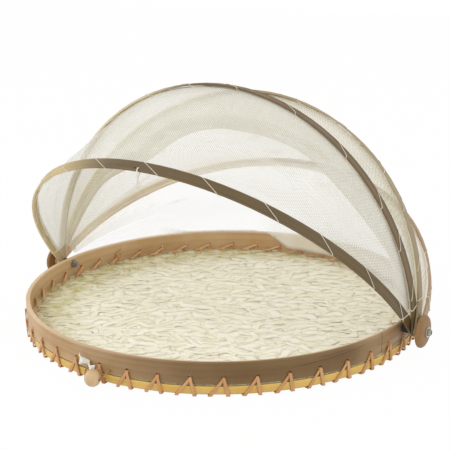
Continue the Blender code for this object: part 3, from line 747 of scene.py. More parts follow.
def add_cord(
    name: str, path: Sequence[Vector], radius: float, material: Material, closed: bool = False
) -> Piece:
    """Add a round cord of one spline.

    Args:
        name: The piece's name.
        path: Its points.
        radius: Its radius.
        material: Its material.
        closed: Whether it is a ring.

    Returns:
        The cord.
    """
    data = bpy.data.curves.new(name, "CURVE")
    data.dimensions = "3D"
    data.bevel_depth = radius
    data.bevel_resolution = 1
    data.use_fill_caps = not closed
    spline = data.splines.new("POLY")
    spline.points.add(len(path) - 1)
    for point, place in zip(spline.points, path):
        point.co = (*place, 1.0)
    spline.use_cyclic_u = closed
    spline.use_smooth = True
    return add_object(name, data, material)


def knot(place: Vector, size: float) -> list[Vector]:
    """Return a small overhand knot's path.

    Args:
        place: Its middle.
        size: A third of its width.

    Returns:
        The path's points.
    """
    points = []
    for i in range(20):
        t = math.tau * i / 20
        out = 2 + math.cos(3 * t)
        points.append(place + Vector((math.cos(2 * t) * out, math.sin(3 * t), math.sin(2 * t) * out)) * size)
    return points


@dataclass(frozen=True)
class BowPath:
    """The line that a bow follows and the body that carries it."""

    name: str
    order: int
    degrees: float
    first_span: float = 0.2086
    pitch: float = 0.0025
    rise_over_span: float = 0.0010
    lean: float = -0.06
    lean_start: float = 0.006

    @property
    def span(self) -> float:
        """Return the half span to the middle of the strip."""
        return self.first_span + self.order * self.pitch

    @property
    def rise(self) -> float:
        """Return the rise to the middle of the strip."""
        return self.span + self.rise_over_span

    @property
    def tilt(self) -> float:
        """Return the turn that stands the bow's plane up."""
        return math.pi - math.radians(self.degrees)

    def point(self, turn: float, inset: float = 0.0, side: float = 0.0, shift: float = 0.0) -> Vector:
        """Return a point on or near the bow.

        Args:
            turn: The turn of its arc, 0 at the right hinge.
            inset: How far inside the strip's middle.
            side: How far across the strip, towards the front.
            shift: How far the whole bow is turned from its place, in radians.

        Returns:
            The point in the frame.
        """
        away = (self.rise - inset) * math.sin(turn)
        across = (self.span - inset) * math.cos(turn) + self.lean * max(0.0, away - self.lean_start)
        spin = Matrix.Rotation(self.tilt + shift, 3, "X")
        return spin @ Vector((across, away, side)) + Vector((0.0, 0.0, TRAY.hinge_height))


BOWS = (
    BowPath("bow_front", 0, 50.0),
    BowPath("bow_second", 1, 94.0),
    BowPath("bow_third", 2, 116.5),
    BowPath("bow_rear", 3, 154.0),
)


def round_edges(piece: Piece, name: str, width: float, degrees: float) -> bpy.types.Modifier:
    """Round the sharp edges of a piece.

    Args:
        piece: The piece.
        name: The modifier's name.
        width: How wide the edges are rounded.
        degrees: Edges sharper than this are rounded.

    Returns:
        The modifier.
    """
    bevel = piece.modifiers.new(name, "BEVEL")
    bevel.width = width
    bevel.segments = 2
    bevel.limit_method = "ANGLE"
    bevel.angle_limit = math.radians(degrees)
    return bevel


def dress(node: str, material: Material, edge: float = 0.0, sharp: float = 40.0) -> None:
    """Give a solid of the frame its finish and softened edges.

    Args:
        node: The solid's name.
        material: Its material.
        edge: How wide its edges are rounded.
        sharp: Edges sharper than this, in degrees, are rounded or stay sharp.
    """
    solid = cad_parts[node]
    solid.data.materials.clear()
    solid.data.materials.append(material)
    solid.data.polygons.foreach_set("material_index", [0] * len(solid.data.polygons))
    if edge:
        round_edges(solid, "soft_edges", edge, sharp).harden_normals = True
    solid.data.shade_smooth()
    solid.data.set_sharp_from_angle(angle=math.radians(sharp))
    log.info("dressed %s", node)


@dataclass
class TrayHoops:
    """The two bent hoops of the tray."""

    def build(self) -> None:
        """Dress the rim hoop and the low hoop."""
        # The rim's outer face gets painted shade towards +X, from the last tone and span given.
        rim = SplitBamboo(
            "rim_bamboo", seen(204, 168, 122), seen(172, 132, 84), seen(230, 204, 168),
            middle=0.0107, half_width=0.0104, roughness=0.42, checks=0.8, painted_shade_tone=seen(152, 141, 110),
            painted_shade_span=(-0.11, 0.12),
        )
        low = SplitBamboo(
            "low_hoop_bamboo", seen(232, 192, 98), seen(196, 150, 62), seen(244, 214, 138),
            middle=-0.0055, half_width=0.004, roughness=0.38,
        )
        dress("rim_hoop", rim.build())
        dress("lower_hoop", low.build())


@dataclass
class WovenFloor:
    """The floor: thin pale splits of uneven width, woven with long loose floats."""

    radius: float = 0.1984
    widths: tuple[float, float] = (0.0068, 0.0125)
    overlap: float = 0.84
    step: float = 0.0026
    middle: float = -0.0006
    backing_depth: float = 0.0004
    rise: float = 0.00045
    thickness: float = 0.0002
    turn: float = math.radians(34.0)
    seed: int = 11
    slips: float = 0.24
    wander: float = 0.0016
    ragged: float = 0.42
    curl: float = 0.0004
    crown: float = 0.00008
    float_lengths: tuple[float, float] = (0.014, 0.040)
    float_widths: tuple[float, float] = (0.0065, 0.0160)
    float_lifts: tuple[float, float] = (0.0, 0.0002)
    float_arches: tuple[float, float] = (0.0001, 0.0005)
    float_dip: float = 0.0004
    float_crumple: float = 0.0002
    float_steps: int = 7
    float_heading: float = 0.46
    float_bend: float = 0.0075
    float_gaps: tuple[float, float] = (0.011, 0.019)
    float_rows: float = 0.0062
    float_share: float = 0.92
    clear_edge: float = 0.017
    crossings: dict = field(default_factory=dict)

    def strips(self, seed: int) -> list[tuple[float, float]]:
        """Lay splits side by side from edge to edge.

        Args:
            seed: The source of their widths.

        Returns:
            The middle and the width of each.
        """
        chance = random.Random(seed)
        place, found = -self.radius, []
        while place < self.radius:
            width = chance.uniform(*self.widths)
            found.append((place + width / 2, width))
            place += width * self.overlap
        return found

    def over(self, row: int, column: int) -> bool:
        """Tell whether the split of a row lies over that of a column: mostly so, with many slips."""
        key = (row, column)
        if key not in self.crossings:
            slip = random.Random(self.seed * 7919 + row * 131 + column).random() < self.slips
            self.crossings[key] = ((row + 2 * column) % 4 != 0) != slip
        return self.crossings[key]

    def height(self, index: int, along: float, is_row: bool, others: Sequence[tuple[float, float]]) -> float:
        """Return the height of a split above the middle of the mat.

        Args:
            index: The split's number.
            along: The place along it.
            is_row: Whether it belongs to the rows.
            others: The splits that it crosses.

        Returns:
            The height.
        """
        after = next((k for k, (place, _) in enumerate(others) if place > along), len(others) - 1)
        after = max(1, after)
        start, stop = others[after - 1][0], others[after][0]
        ends = []
        for other in (after - 1, after):
            above = self.over(index, other) if is_row else not self.over(other, index)
            ends.append(1.0 if above else -1.0)
        eased = ease((along - start) / (stop - start))
        return self.rise * (ends[0] * (1 - eased) + ends[1] * eased)

    def weave(
        self, work: Work, index: int, is_row: bool, own: Sequence, others: Sequence
    ) -> None:
        """Add one split.

        Args:
            work: The bmesh to add to.
            index: The split's number.
            is_row: Whether it belongs to the rows.
            own: The splits that lie the same way.
            others: The splits that it crosses.
        """
        layer = work.loops.layers.uv.verify()
        outline = work.verts.layers.float["edge"]
        middle, width = own[index]
        reach = math.sqrt(max(0.0, self.radius**2 - middle**2))
        if reach < width:
            return
        steps = max(2, round(2 * reach / self.step))
        seed = 37.0 if is_row else 91.0
        spin = Matrix.Rotation(self.turn, 3, "Z")
        grid, places = [], []
        for i in range(steps + 1):
            along = -reach + 2 * reach * i / steps
            wave = self.wander * uneven(along * 24, index * 3.1, seed)
            ragged = [uneven(along * 95, index * 1.7 + side, seed + 5) for side in (0.0, 40.0)]
            curls = [uneven(along * 110, index * 2.3 + side, seed + 9) for side in (0.0, 40.0)]
            base = self.middle + self.height(index, along, is_row, others)
            ring = []
            for share in (-1.0, -0.5, 0.0, 0.5, 1.0):
                side = share > 0
                half = width / 2 * (1.0 + self.ragged * ragged[side])
                lift = self.curl * max(-0.2, curls[side]) * share * share - self.crown * abs(share)
                offset = middle + wave + share * half
                flat = (along, offset) if is_row else (offset, along)
                radius = math.hypot(*flat)
                if radius > self.radius:
                    flat = (flat[0] * self.radius / radius, flat[1] * self.radius / radius)
                corner = work.verts.new(spin @ Vector((*flat, base + lift)))
                corner[outline] = 1.0 if abs(share) == 1.0 else 0.0
                ring.append(corner)
            grid.append(ring)
            places.append(along)
        spread = (index * 0.37, index * 0.1)
        fill_grid(
            work, grid, layer, lambda i, k: (places[i] + spread[0], k * width / 4 + spread[1]), not is_row
        )

    def flake(self, work: Work, chance: random.Random, place: Vector) -> None:
        """Add one loose float: a short thin split with ragged, lifted edges.

        Args:
            work: The bmesh to add to.
            chance: The source of its form.
            place: Its middle.
        """
        layer = work.loops.layers.uv.verify()
        outline = work.verts.layers.float["edge"]
        length, width = chance.uniform(*self.float_lengths), chance.uniform(*self.float_widths)
        spin = Matrix.Rotation(self.turn + chance.gauss(0.0, self.float_heading), 3, "Z")
        lifted, lowered = chance.uniform(*self.float_lifts), chance.uniform(-0.0001, 0.0)
        arch, seed = chance.uniform(*self.float_arches), chance.uniform(0.0, 90.0)
        flip, shift = chance.choice((-1.0, 1.0)), chance.uniform(0.0, 3.0)
        grid, last = [], self.float_steps
        for i in range(last + 1):
            s = i / last
            ragged = 1.0 + 0.5 * uneven(s * 4, seed, 1.0)
            swell = (0.30 + 0.70 * math.sin(math.pi * s) ** 0.7) * ragged
            bend = self.float_bend * uneven(s * 2.4, seed, 5.0)
            ring = []
            for share in (-1.0, -0.33, 0.33, 1.0):
                edge = share * flip
                rise = lifted * max(0.0, edge) ** 1.5 + lowered * max(0.0, -edge)
                rise += arch * math.sin(math.pi * s) - self.float_dip * abs(2 * s - 1) ** 3
                rise += self.float_crumple * uneven(s * 5, share * 1.5, seed)
                flat = spin @ Vector(((s - 0.5) * length, bend + share * swell * width / 2, 0.0))
                corner = work.verts.new(place + flat + Vector((0.0, 0.0, max(-0.0006, rise - 0.0001))))
                corner[outline] = 1.0 if abs(share) == 1.0 or i in (0, last) else 0.0
                ring.append(corner)
            grid.append(ring)
        fill_grid(work, grid, layer, lambda i, k: (i / last * length + shift, k / 3 * width + shift))

    def scatter(self, work: Work) -> int:
        """Lay loose floats over the weave.

        Args:
            work: The bmesh to add to.

        Returns:
            How many there are.
        """
        chance = random.Random(self.seed + 2)
        spin = Matrix.Rotation(self.turn, 3, "Z")
        count, y = 0, -self.radius
        while y < self.radius:
            x = -self.radius + chance.uniform(0.0, 0.010)
            while x < self.radius:
                place = Vector((x, y + chance.uniform(-0.004, 0.004), 0.0))
                if place.length < self.radius - self.clear_edge and chance.random() < self.float_share:
                    self.flake(work, chance, spin @ place)
                    count += 1
                x += chance.uniform(*self.float_gaps)
            y += self.float_rows
        return count

    def build(self) -> None:
        """Weave the floor in the mat's place."""
        work = bmesh.new()
        work.loops.layers.uv.new("along")
        # The edge attribute marks the splits' edges, where the floor's material paints shade.
        work.verts.layers.float.new("edge")
        rows, columns = self.strips(self.seed), self.strips(self.seed + 1)
        for index in range(len(rows)):
            self.weave(work, index, True, rows, columns)
        for index in range(len(columns)):
            self.weave(work, index, False, columns, rows)
        loose = self.scatter(work)
        backing = bmesh.ops.create_circle(work, cap_ends=True, segments=96, radius=self.radius)
        bmesh.ops.translate(work, verts=backing["verts"], vec=(0.0, 0.0, self.middle - self.backing_depth))
        finish = WeftBamboo("floor_splits", seen(255, 252, 238), seen(240, 236, 206), seen(200, 193, 136))
        piece = add_object("woven_floor", to_mesh("woven_floor", work), finish.build())
        thick = piece.modifiers.new("split_thickness", "SOLIDIFY")
        thick.thickness = self.thickness
        thick.offset = 0.0
        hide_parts("floor_mat")
        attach(piece, "tray")
        log.info("wove the floor of %d splits and %d loose floats", len(rows) + len(columns), loose)


@dataclass
class CaneLacing:
    """One long strip of cane that laces the hoops and the floor together."""

    width: float = 0.0035
    thickness: float = 0.0008
    pinch: float = 0.0026
    layer: float = 0.0007
    hole_height: float = 0.0070
    lift: float = 0.0010
    drift: float = 0.0032
    long_reach: float = 0.0115
    inner_reach: float = 0.0160
    pierce_inset: float = 0.0070
    upper_drop: float = 0.0003
    lower_drop: float = 0.0012
    outer_step: float = 0.0002
    floor_gap: float = 0.0009
    turn_back: float = 0.0005
    slips: tuple[float, float] = (-0.0016, 0.0016)
    leans: tuple[float, float] = (-0.0006, 0.0006)
    breadths: tuple[float, float] = (0.9, 1.12)
    knot_azimuth: float = 160.8
    end_radius: float = 0.0008
    rounding: float = 0.00025
    mitre: float = 1.5
    seed: int = 5

    def stitch(self, chance: random.Random) -> list[tuple]:
        """Return one stitch, from where the cane comes up through the floor to the next such place.

        Args:
            chance: The source of its small unevenness.

        Returns:
            For each bend: metres along the rim, radius, height, width, and its run's face as (radial, up).
        """
        upper, lower = self.hole_height - self.upper_drop, self.hole_height - self.lower_drop
        near_in = TRAY.hoop_inner - self.layer
        near_out = TRAY.radius + self.layer
        bottom = TRAY.hoop_bottom - self.layer
        advance = math.tau * TRAY.radius / TRAY.stitches
        slip = chance.uniform(*self.slips)
        lean = chance.uniform(*self.leans)
        broad = self.width * chance.uniform(*self.breadths)
        rise = self.thickness + self.floor_gap
        pierce = (self.inner_reach, TRAY.rim_inner - self.pierce_inset, rise, broad)
        return [
            (*pierce, (-0.75, 0.66)),
            (0.0, near_in - self.lift, upper, self.pinch, (0.0, 1.0)),
            (0.0, near_out + self.lift, upper, self.pinch, (1.0, 0.0)),
            (self.drift + lean, near_out + self.outer_step, bottom, broad, (0.0, -1.0)),
            (self.drift + lean, near_in, bottom, broad, (-1.0, 0.0)),
            (0.0, near_in, lower, self.pinch, (0.0, 1.0)),
            (0.0, near_out, lower, self.pinch, (1.0, 0.0)),
            (slip - self.long_reach, near_out, bottom, broad, (0.0, -1.0)),
            (self.inner_reach - advance + self.turn_back, near_in, bottom, broad, (-1.0, 0.0)),
        ]

    def rings(self) -> list[list[Vector]]:
        """Return the strip's sections round the whole tray, folded where it goes over an edge.

        Returns:
            The sections, four corners each.
        """
        chance = random.Random(self.seed)
        points, normals, widths = [], [], []
        for index in reversed(range(TRAY.stitches)):
            for along, radius, height, width, (radial, rise) in self.stitch(chance):
                angle = TRAY.stitch_azimuth(index) + along / TRAY.radius
                points.append(Vector((radius * math.cos(angle), radius * math.sin(angle), height)))
                normals.append(Vector((radial * math.cos(angle), radial * math.sin(angle), rise)))
                widths.append(width)
        runs = [(b - a).normalized() for a, b in zip(points, points[1:])]
        faces = [(n - r * n.dot(r)).normalized() for n, r in zip(normals, runs)]
        sides = [r.cross(n) for r, n in zip(runs, faces)]
        rings = []
        for i, point in enumerate(points):
            a, b = max(i - 1, 0), min(i, len(runs) - 1)
            face = self.mean(faces[a], faces[b]) * self.thickness / 2
            if faces[a].angle(faces[b]) > math.radians(60.0):
                side = faces[a].cross(faces[b]).normalized()
                side = side if side.dot(sides[a]) > 0 else -side
                side = side * min(self.mitre, 1.0 / max(side.cross(runs[b]).length, 1.0 / self.mitre))
            else:
                side = self.mean(sides[a], sides[b])
            side = side * widths[i] / 2
            rings.append([point - side - face, point + side - face, point + side + face, point - side + face])
        return rings

    def mean(self, first: Vector, second: Vector) -> Vector:
        """Return the mitred mean of two unit vectors."""
        middle = (first + second).normalized()
        return middle * min(self.mitre, 1.0 / max(middle.dot(first), 1.0 / self.mitre))

    def build(self) -> None:
        """Lay the lacing, with rounded edges."""
        work = bmesh.new()
        layer = work.loops.layers.uv.new("along")
        rings, travelled = self.rings(), [0.0]
        loops = [[work.verts.new(corner) for corner in ring] for ring in rings]
        for first, second in zip(rings, rings[1:]):
            travelled.append(travelled[-1] + (second[0] - first[0]).length)
        for i in range(len(loops) - 1):
            for k in range(4):
                after = (k + 1) % 4
                face = work.faces.new((loops[i][k], loops[i][after], loops[i + 1][after], loops[i + 1][k]))
                for loop, (ring, edge) in zip(face.loops, ((i, k), (i, k + 1), (i + 1, k + 1), (i + 1, k))):
                    loop[layer].uv = (travelled[ring], edge * self.width)
        work.faces.new(loops[0][::-1])
        work.faces.new(loops[-1])
        bmesh.ops.recalc_face_normals(work, faces=work.faces[:])
        cane = Cane("lacing_cane", seen(220, 172, 120), seen(186, 128, 78)).build()
        piece = add_object("cane_lacing", to_mesh("cane_lacing", work), cane)
        round_edges(piece, "rounded_cane", self.rounding, 30.0)
        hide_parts("rim_lacing")
        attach(piece, "tray")
        self.tie_end(cane)
        log.info("laced the rim with %d stitches", TRAY.stitches)

    def tie_end(self, cane: Material) -> None:
        """Knot the end of the strip inside the rim, with a short tail.

        Args:
            cane: The lacing's material.
        """
        spin = Matrix.Rotation(math.radians(self.knot_azimuth), 3, "Z")
        radius = TRAY.hoop_inner - 0.0030
        tail = (
            (radius, 0.001, 0.0080), (radius + 0.0012, -0.0030, 0.0100), (radius + 0.0016, -0.0065, 0.0135)
        )
        foot = ((radius, 0.0, 0.0070), (radius - 0.0005, 0.0020, 0.0035), (radius - 0.0030, 0.0032, 0.0010))
        routes = {
            "lacing_knot": knot(spin @ Vector((radius, 0.0, 0.0078)), self.end_radius),
            "lacing_tail": [spin @ Vector(place) for place in tail],
            "lacing_foot": [spin @ Vector(place) for place in foot],
        }
        for name, route in routes.items():
            piece = add_cord(name, route, self.end_radius, cane, name == "lacing_knot")
            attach(piece, "tray")


@dataclass
class Hinges:
    """The bolts, discs, ferrules, spacers, washers and nuts of both hinges."""

    disc_places: tuple[float, float] = (0.2209, -0.2209)

    def build(self) -> None:
        """Dress both hinges."""
        steel = DullSolid("bolt_steel", seen(172, 172, 162), seen(116, 114, 104), 0.42, 0.7).build()
        ring = DullSolid("ferrule_steel", seen(222, 221, 216), seen(176, 174, 168), 0.35, 1.0).build()
        black = DullSolid("spacer_rubber", seen(38, 37, 35), seen(62, 60, 56), 0.7, 0.0, 0.0006, 6e-5).build()
        for side, place in zip(("right", "left"), self.disc_places):
            middle = (place, 0.0, TRAY.hinge_height)
            wood = TurnedWood("disc_wood_" + side, seen(158, 118, 69), seen(131, 95, 53), middle).build()
            for node, finish, edge in (
                ("wooden_disc_", wood, 0.0006), ("hinge_bolt_", steel, 0.0003),
                ("hinge_nut_", steel, 0.0003), ("inner_washer_", steel, 0.0),
                ("disc_ferrule_", ring, 0.0002), ("rim_spacer_", black, 0.0004),
            ):
                dress(node + side, finish, edge)


@dataclass
class Bow:
    """One bent bow and the thread whipped round it."""

    path: BowPath
    body: Color
    dark: Color
    # Painted shade: the tone that the bow darkens to towards +X.
    painted_shade_tone: Color
    crossings: tuple[float, ...]
    bindings: tuple[tuple[float, float], ...]
    slant: float = 0.019
    half_width: float = 0.0053
    thread_radius: float = 0.0003
    binding_radius: float = 0.0004
    knot_size: float = 0.0006
    over: float = -0.0012
    under: float = 0.0019

    def whipping(self) -> list[Vector]:
        """Return the thread's path: short slanted turns outside, long runs inside.

        Returns:
            The path's points.
        """
        over, under, half, far = self.over, self.under, self.half_width, self.slant / self.path.rise
        marks = []
        for turn, following in zip(self.crossings, (*self.crossings[1:], self.crossings[-1] + 0.2)):
            start = turn - far / 2
            marks += [
                (start, half, 0.0), (start + far * 0.08, half * 0.88, over), (turn, 0.0, over * 1.05),
                (start + far * 0.92, -half * 0.88, over), (start + far, -half, 0.0),
                (start + far * 1.1, -half * 0.85, under), (start + far * 2.2, -half * 0.3, under),
                (following - far * 1.7, half * 0.3, under), (following - far * 0.6, half * 0.85, under),
            ]
        return [self.path.point(turn, inset, side) for turn, side, inset in marks[:-4]]

    def binding(self, turn: float, slant: float) -> list[Vector]:
        """Return a closed turn of thread round the strip.

        Args:
            turn: Where it is on the bow's arc.
            slant: How far its outer run leans along the bow.

        Returns:
            The turn's points.
        """
        half, far = self.half_width, slant / self.path.rise
        marks = (
            (-0.5, half, 0.0004), (-0.40, half * 0.9, -0.0012), (0.0, 0.0, -0.0013),
            (0.40, -half * 0.9, -0.0012), (0.5, -half, 0.0004), (0.25, -half * 0.7, 0.0016),
            (-0.25, half * 0.7, 0.0016),
        )
        return [self.path.point(turn + far * share, inset, side) for share, side, inset in marks]

    def build(self, thread: Material) -> None:
        """Dress the bow and whip its thread.

        Args:
            thread: The thread's material.
        """
        worn = tuple(min(1.0, channel * 1.45) for channel in self.body[:3]) + (1.0,)
        # The bow carries painted shade towards +X.
        finish = SplitBamboo(
            self.path.name + "_bamboo", self.body, self.dark, worn, self.path.tilt, TRAY.hinge_height,
            roughness=0.45, painted_shade_tone=self.painted_shade_tone,
        )
        dress(self.path.name, finish.build(), 0.0003)
        cords = [(self.path.name + "_thread", through(self.whipping(), 3), self.thread_radius, False)]
        for index, (turn, slant) in enumerate(self.bindings):
            name = f"{self.path.name}_binding_{index}"
            low = self.path.point(turn + 0.5 * slant / self.path.rise, 0.0, -self.half_width - 0.0008)
            cords.append((name, through(self.binding(turn, slant), 3, True), self.binding_radius, True))
            cords.append((name + "_knot", knot(low, self.knot_size), self.binding_radius, True))
        for name, route, radius, closed in cords:
            piece = add_cord(name, route, radius, thread, closed)
            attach(piece, self.path.name)
        turns, bound = len(self.crossings), len(self.bindings)
        log.info("whipped %s with %d turns and %d bindings", self.path.name, turns, bound)


class Hold(Enum):
    """What the rear edge of a net panel is fastened to."""

    BOW = "bow"
    RIM = "rim"


@dataclass
class NetPanel:
    """A panel of net between a bow and what is behind it."""

    name: str
    front: BowPath
    rear: BowPath | None
    carrier: str
    droop: float
    swing: float
    pleat: float
    ripple: float
    bellies: tuple[tuple[float, float, float], ...] = ()
    columns: int = 120
    rows: int = 28
    pivot: float = 0.020
    taut: float = math.radians(46.0)
    thickness: float = 0.0005
    strip_half: float = 0.0010
    seat: float = 0.0003
    seam: float = 0.0012
    rim_angle: float = 180.0
    rim_drop: float = 0.0035
    slipped: tuple[float, float] = (0.22, 2.52)
    slip_ease: float = 0.22
    lap_rows: int = 6
    lobe_rows: int = 14
    lobe_end: float = 1.92
    lobe_ease: tuple[float, float] = (0.45, 0.26)
    lobe_depth: float = 0.0150
    lobe_inset: float = 0.0088
    lobe_radius: float = 0.1968
    lobe_wave: float = 0.0020
    stand: float = 0.0032

    @property
    def hold(self) -> Hold:
        """Tell what the rear edge is fastened to."""
        return Hold.BOW if self.rear else Hold.RIM

    @property
    def opening(self) -> float:
        """Return the angle between the panel's two edges at rest."""
        rear = self.rear.degrees if self.rear else self.rim_angle
        return math.radians(rear - self.front.degrees)

    def edges(self, turn: float, spread: float = 0.0) -> tuple[Vector, Vector]:
        """Return the ends of one line across the panel.

        Args:
            turn: The turn of the bows' arcs.
            spread: How much further the front bow is turned forward, in radians.

        Returns:
            The point on the front bow and the point on the rear bow or the rim.
        """
        inset = self.strip_half + self.seat + self.thickness / 2
        front = self.front.point(turn, inset, -self.seam, spread)
        if self.rear:
            eased = inset + self.rear.pitch * math.cos(turn) ** 6
            return front, self.rear.point(turn, eased, self.seam)
        radius = TRAY.radius + self.seat + self.thickness / 2
        return front, Vector((radius * math.cos(turn), radius * math.sin(turn), TRAY.rim_top - self.rim_drop))

    def turn(self, column: int) -> float:
        """Return the turn of the bows' arcs at a column."""
        first = math.asin(self.pivot / self.front.rise)
        return first + column * (math.pi - 2 * first) / self.columns

    def hung(self, column: int, row: int) -> Vector:
        """Return a point of the panel as its slack lets it hang, with its soft folds.

        Args:
            column: The column, from the right hinge.
            row: The row, from the front bow.

        Returns:
            The point.
        """
        turn, share = self.turn(column), row / self.rows
        front, rear = self.edges(turn)
        fallen = self.fallen(turn)
        away = self.front.rise * math.sin(turn)
        slack, gap = away * math.sin(self.taut / 2), away * math.sin(self.opening / 2)
        depth = math.sqrt(max(0.0, slack**2 - gap**2))
        hang = self.droop * math.sin(math.pi * share) + self.swing * math.sin(2 * math.pi * share)
        hang += self.pleat * math.sin(3 * math.pi * share)
        for place, width, extra in self.bellies:
            hang *= 1.0 + extra * math.exp(-(((turn - place) / width) ** 2))
        middle = Vector((0.0, 0.0, TRAY.hinge_height))
        inward = (middle - (front + rear) / 2).normalized()
        sag = inward * (depth * hang + self.folds(turn, share) * away)
        plain = front.lerp(rear, share) + sag
        return plain.lerp(self.over_rim(turn, row, (front, rear), sag), fallen) if fallen else plain

    def fallen(self, turn: float) -> float:
        """Return how far the lower part has slipped over the rim: fully at the right, not at the left."""
        if self.hold is Hold.BOW:
            return 0.0
        return ease(min(turn - self.slipped[0], self.slipped[1] - turn) / self.slip_ease)

    def depth_share(self, turn: float) -> float:
        """Return how deep the fallen net hangs inside the rim, as a share."""
        first, last = self.lobe_ease
        return ease(min((turn - self.slipped[0]) / first, (self.lobe_end - turn) / last))

    def over_rim(self, turn: float, row: int, ends: tuple[Vector, Vector], sag: Vector) -> Vector:
        """Return a point of the slack net that falls inside the rim and comes back over its top edge.

        Args:
            turn: The turn of the bows' arcs.
            row: The row, from the front bow.
            ends: The points on the bow and on the rim.
            sag: How far the panel stands off the straight line between them.

        Returns:
            The point.
        """
        (front, rear), deep = ends, self.depth_share(turn)
        wave = self.lobe_wave * uneven(turn * 7.0, 3.0, 8.0)
        around, up = Vector((math.cos(turn), math.sin(turn), 0.0)), Vector((0.0, 0.0, 1.0))
        low = around * (self.lobe_radius + (wave - self.lobe_inset) * deep)
        low += up * (TRAY.rim_top + self.stand - (self.stand + self.lobe_depth) * deep + wave)
        inner = around * (TRAY.rim_inner - 0.0008) + up * (TRAY.rim_top + 0.0010)
        outer = around * (TRAY.radius + 0.0008) + up * (TRAY.rim_top + 0.0008)
        bottom = self.rows - self.lap_rows
        if row <= bottom:
            share = row / bottom
            bulge = 0.10 * (front - low).length * math.sin(math.pi * share) * deep
            kept = (1.0 - 0.4 * deep) * min(1.0, 4.0 - 4.0 * share)
            return front.lerp(low, share) - around * bulge + sag * kept
        route = (low, low.lerp(inner, 0.4), low.lerp(inner, 0.8), inner, outer, outer.lerp(rear, 0.5), rear)
        return route[row - bottom]

    def folds(self, turn: float, share: float) -> float:
        """Return how far the soft folds stand inward: long ones along the bows, more of them near the bolts.

        Args:
            turn: The turn of the bows' arcs.
            share: The share of the way to the rear edge.

        Returns:
            The depth as a share of the distance from the bolts.
        """
        seed = 7.0 * self.front.order
        gather = 1.0 + 1.6 * math.cos(turn) ** 4
        long = uneven(turn * 1.1, share * 4.0 + turn * 0.8, seed)
        short = uneven(turn * 2.6, share * 9.0 - turn * 1.7, seed + 3.0)
        crease = 0.22 - abs(self.crease(turn, share))
        eased = min(1.0, 5.0 * share, 5.0 * (1.0 - share))
        return self.ripple * gather * eased * (long + 0.45 * short + 1.3 * crease)

    def crease(self, turn: float, share: float) -> float:
        """Return a value that is zero along the panel's sharp creases."""
        return uneven(turn * 0.9 + 4.0, share * 3.4 + turn * 0.5, 7.0 * self.front.order + 6.0)

    def gathered(self, column: int, row: int) -> float:
        """Return how much the threads are gathered: fully in the hems, partly in creases and the lowest fold.

        Args:
            column: The column, from the right hinge.
            row: The row, from the front bow.

        Returns:
            The share, 0 to 1.
        """
        if row in (0, self.rows) or (self.hold is Hold.RIM and row == self.rows - 1):
            return 1.0
        turn, share = self.turn(column), row / self.rows
        if self.hold is Hold.RIM and row >= self.rows - self.lobe_rows:
            low = 0.8 * self.fallen(turn) if row > self.rows - self.lap_rows else 0.0
            return max(low, self.depth_share(turn) * min(0.8, (row - self.rows + self.lobe_rows) * 0.12))
        lines = 0.55 * max(0.0, 1.0 - abs(self.crease(turn, share)) / 0.035)
        fold = 0.5 * math.exp(-(((share - 0.70) / 0.05) ** 2)) if self.droop else 0.0
        return min(1.0, lines + fold + 0.9 * math.cos(turn) ** 10)

    def flat_mesh(self, point: Callable[[int, int], Vector]) -> bpy.types.Mesh:
        """Make the panel's mesh with its cloth coordinates and hems.

        Args:
            point: Gives the place of each column and row.

        Returns:
            The mesh.
        """
        work = bmesh.new()
        layer = work.loops.layers.uv.new("cloth")
        hem = work.verts.layers.float.new("hem")
        grid = []
        for i in range(self.columns + 1):
            line = [work.verts.new(point(i, k)) for k in range(self.rows + 1)]
            for k, corner in enumerate(line):
                corner[hem] = self.gathered(i, k)
            grid.append(line)
        rise = self.front.rise

        def flat(column: int, row: int) -> tuple[float, float]:
            """Return the flat coordinates of a column and row."""
            turn = self.turn(column)
            width = 2 * math.sin(self.taut / 2) * max(0.06, rise * math.sin(turn))
            return turn * rise, row / self.rows * width

        fill_grid(work, grid, layer, flat)
        return to_mesh(self.name + "_cloth", work)

    def build(self, material: Material) -> None:
        """Hang the panel and let it turn with its two bodies.

        Args:
            material: The net's material.
        """
        mesh = self.flat_mesh(self.hung)
        area = self.cut_area()
        piece = add_object(self.name + "_cloth", mesh, material)
        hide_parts(self.name)
        start = self.front.point(math.pi / 2)
        end = self.edges(math.pi / 2)[1]
        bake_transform(piece, self.front.name, self.carrier, start=start, end=end)
        shares = [k / self.rows for _ in range(self.columns + 1) for k in range(self.rows + 1)]
        piece.data.attributes["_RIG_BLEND"].data.foreach_set("value", shares)
        length = math.pi * self.front.rise
        width = 2 * math.sin(self.taut / 2) * self.front.rise
        log.info("hung %s, %.3f square metres", self.name, area)

    def cut_area(self) -> float:
        """Return the panel's flat area when it is taut."""
        total, spread = 0.0, self.taut - self.opening
        lines = [self.edges(self.turn(i), spread) for i in range(self.columns + 1)]
        for (a, b), (c, d) in zip(lines, lines[1:]):
            total += (c - a).cross(b - a).length / 2 + (c - d).cross(b - d).length / 2
        return total


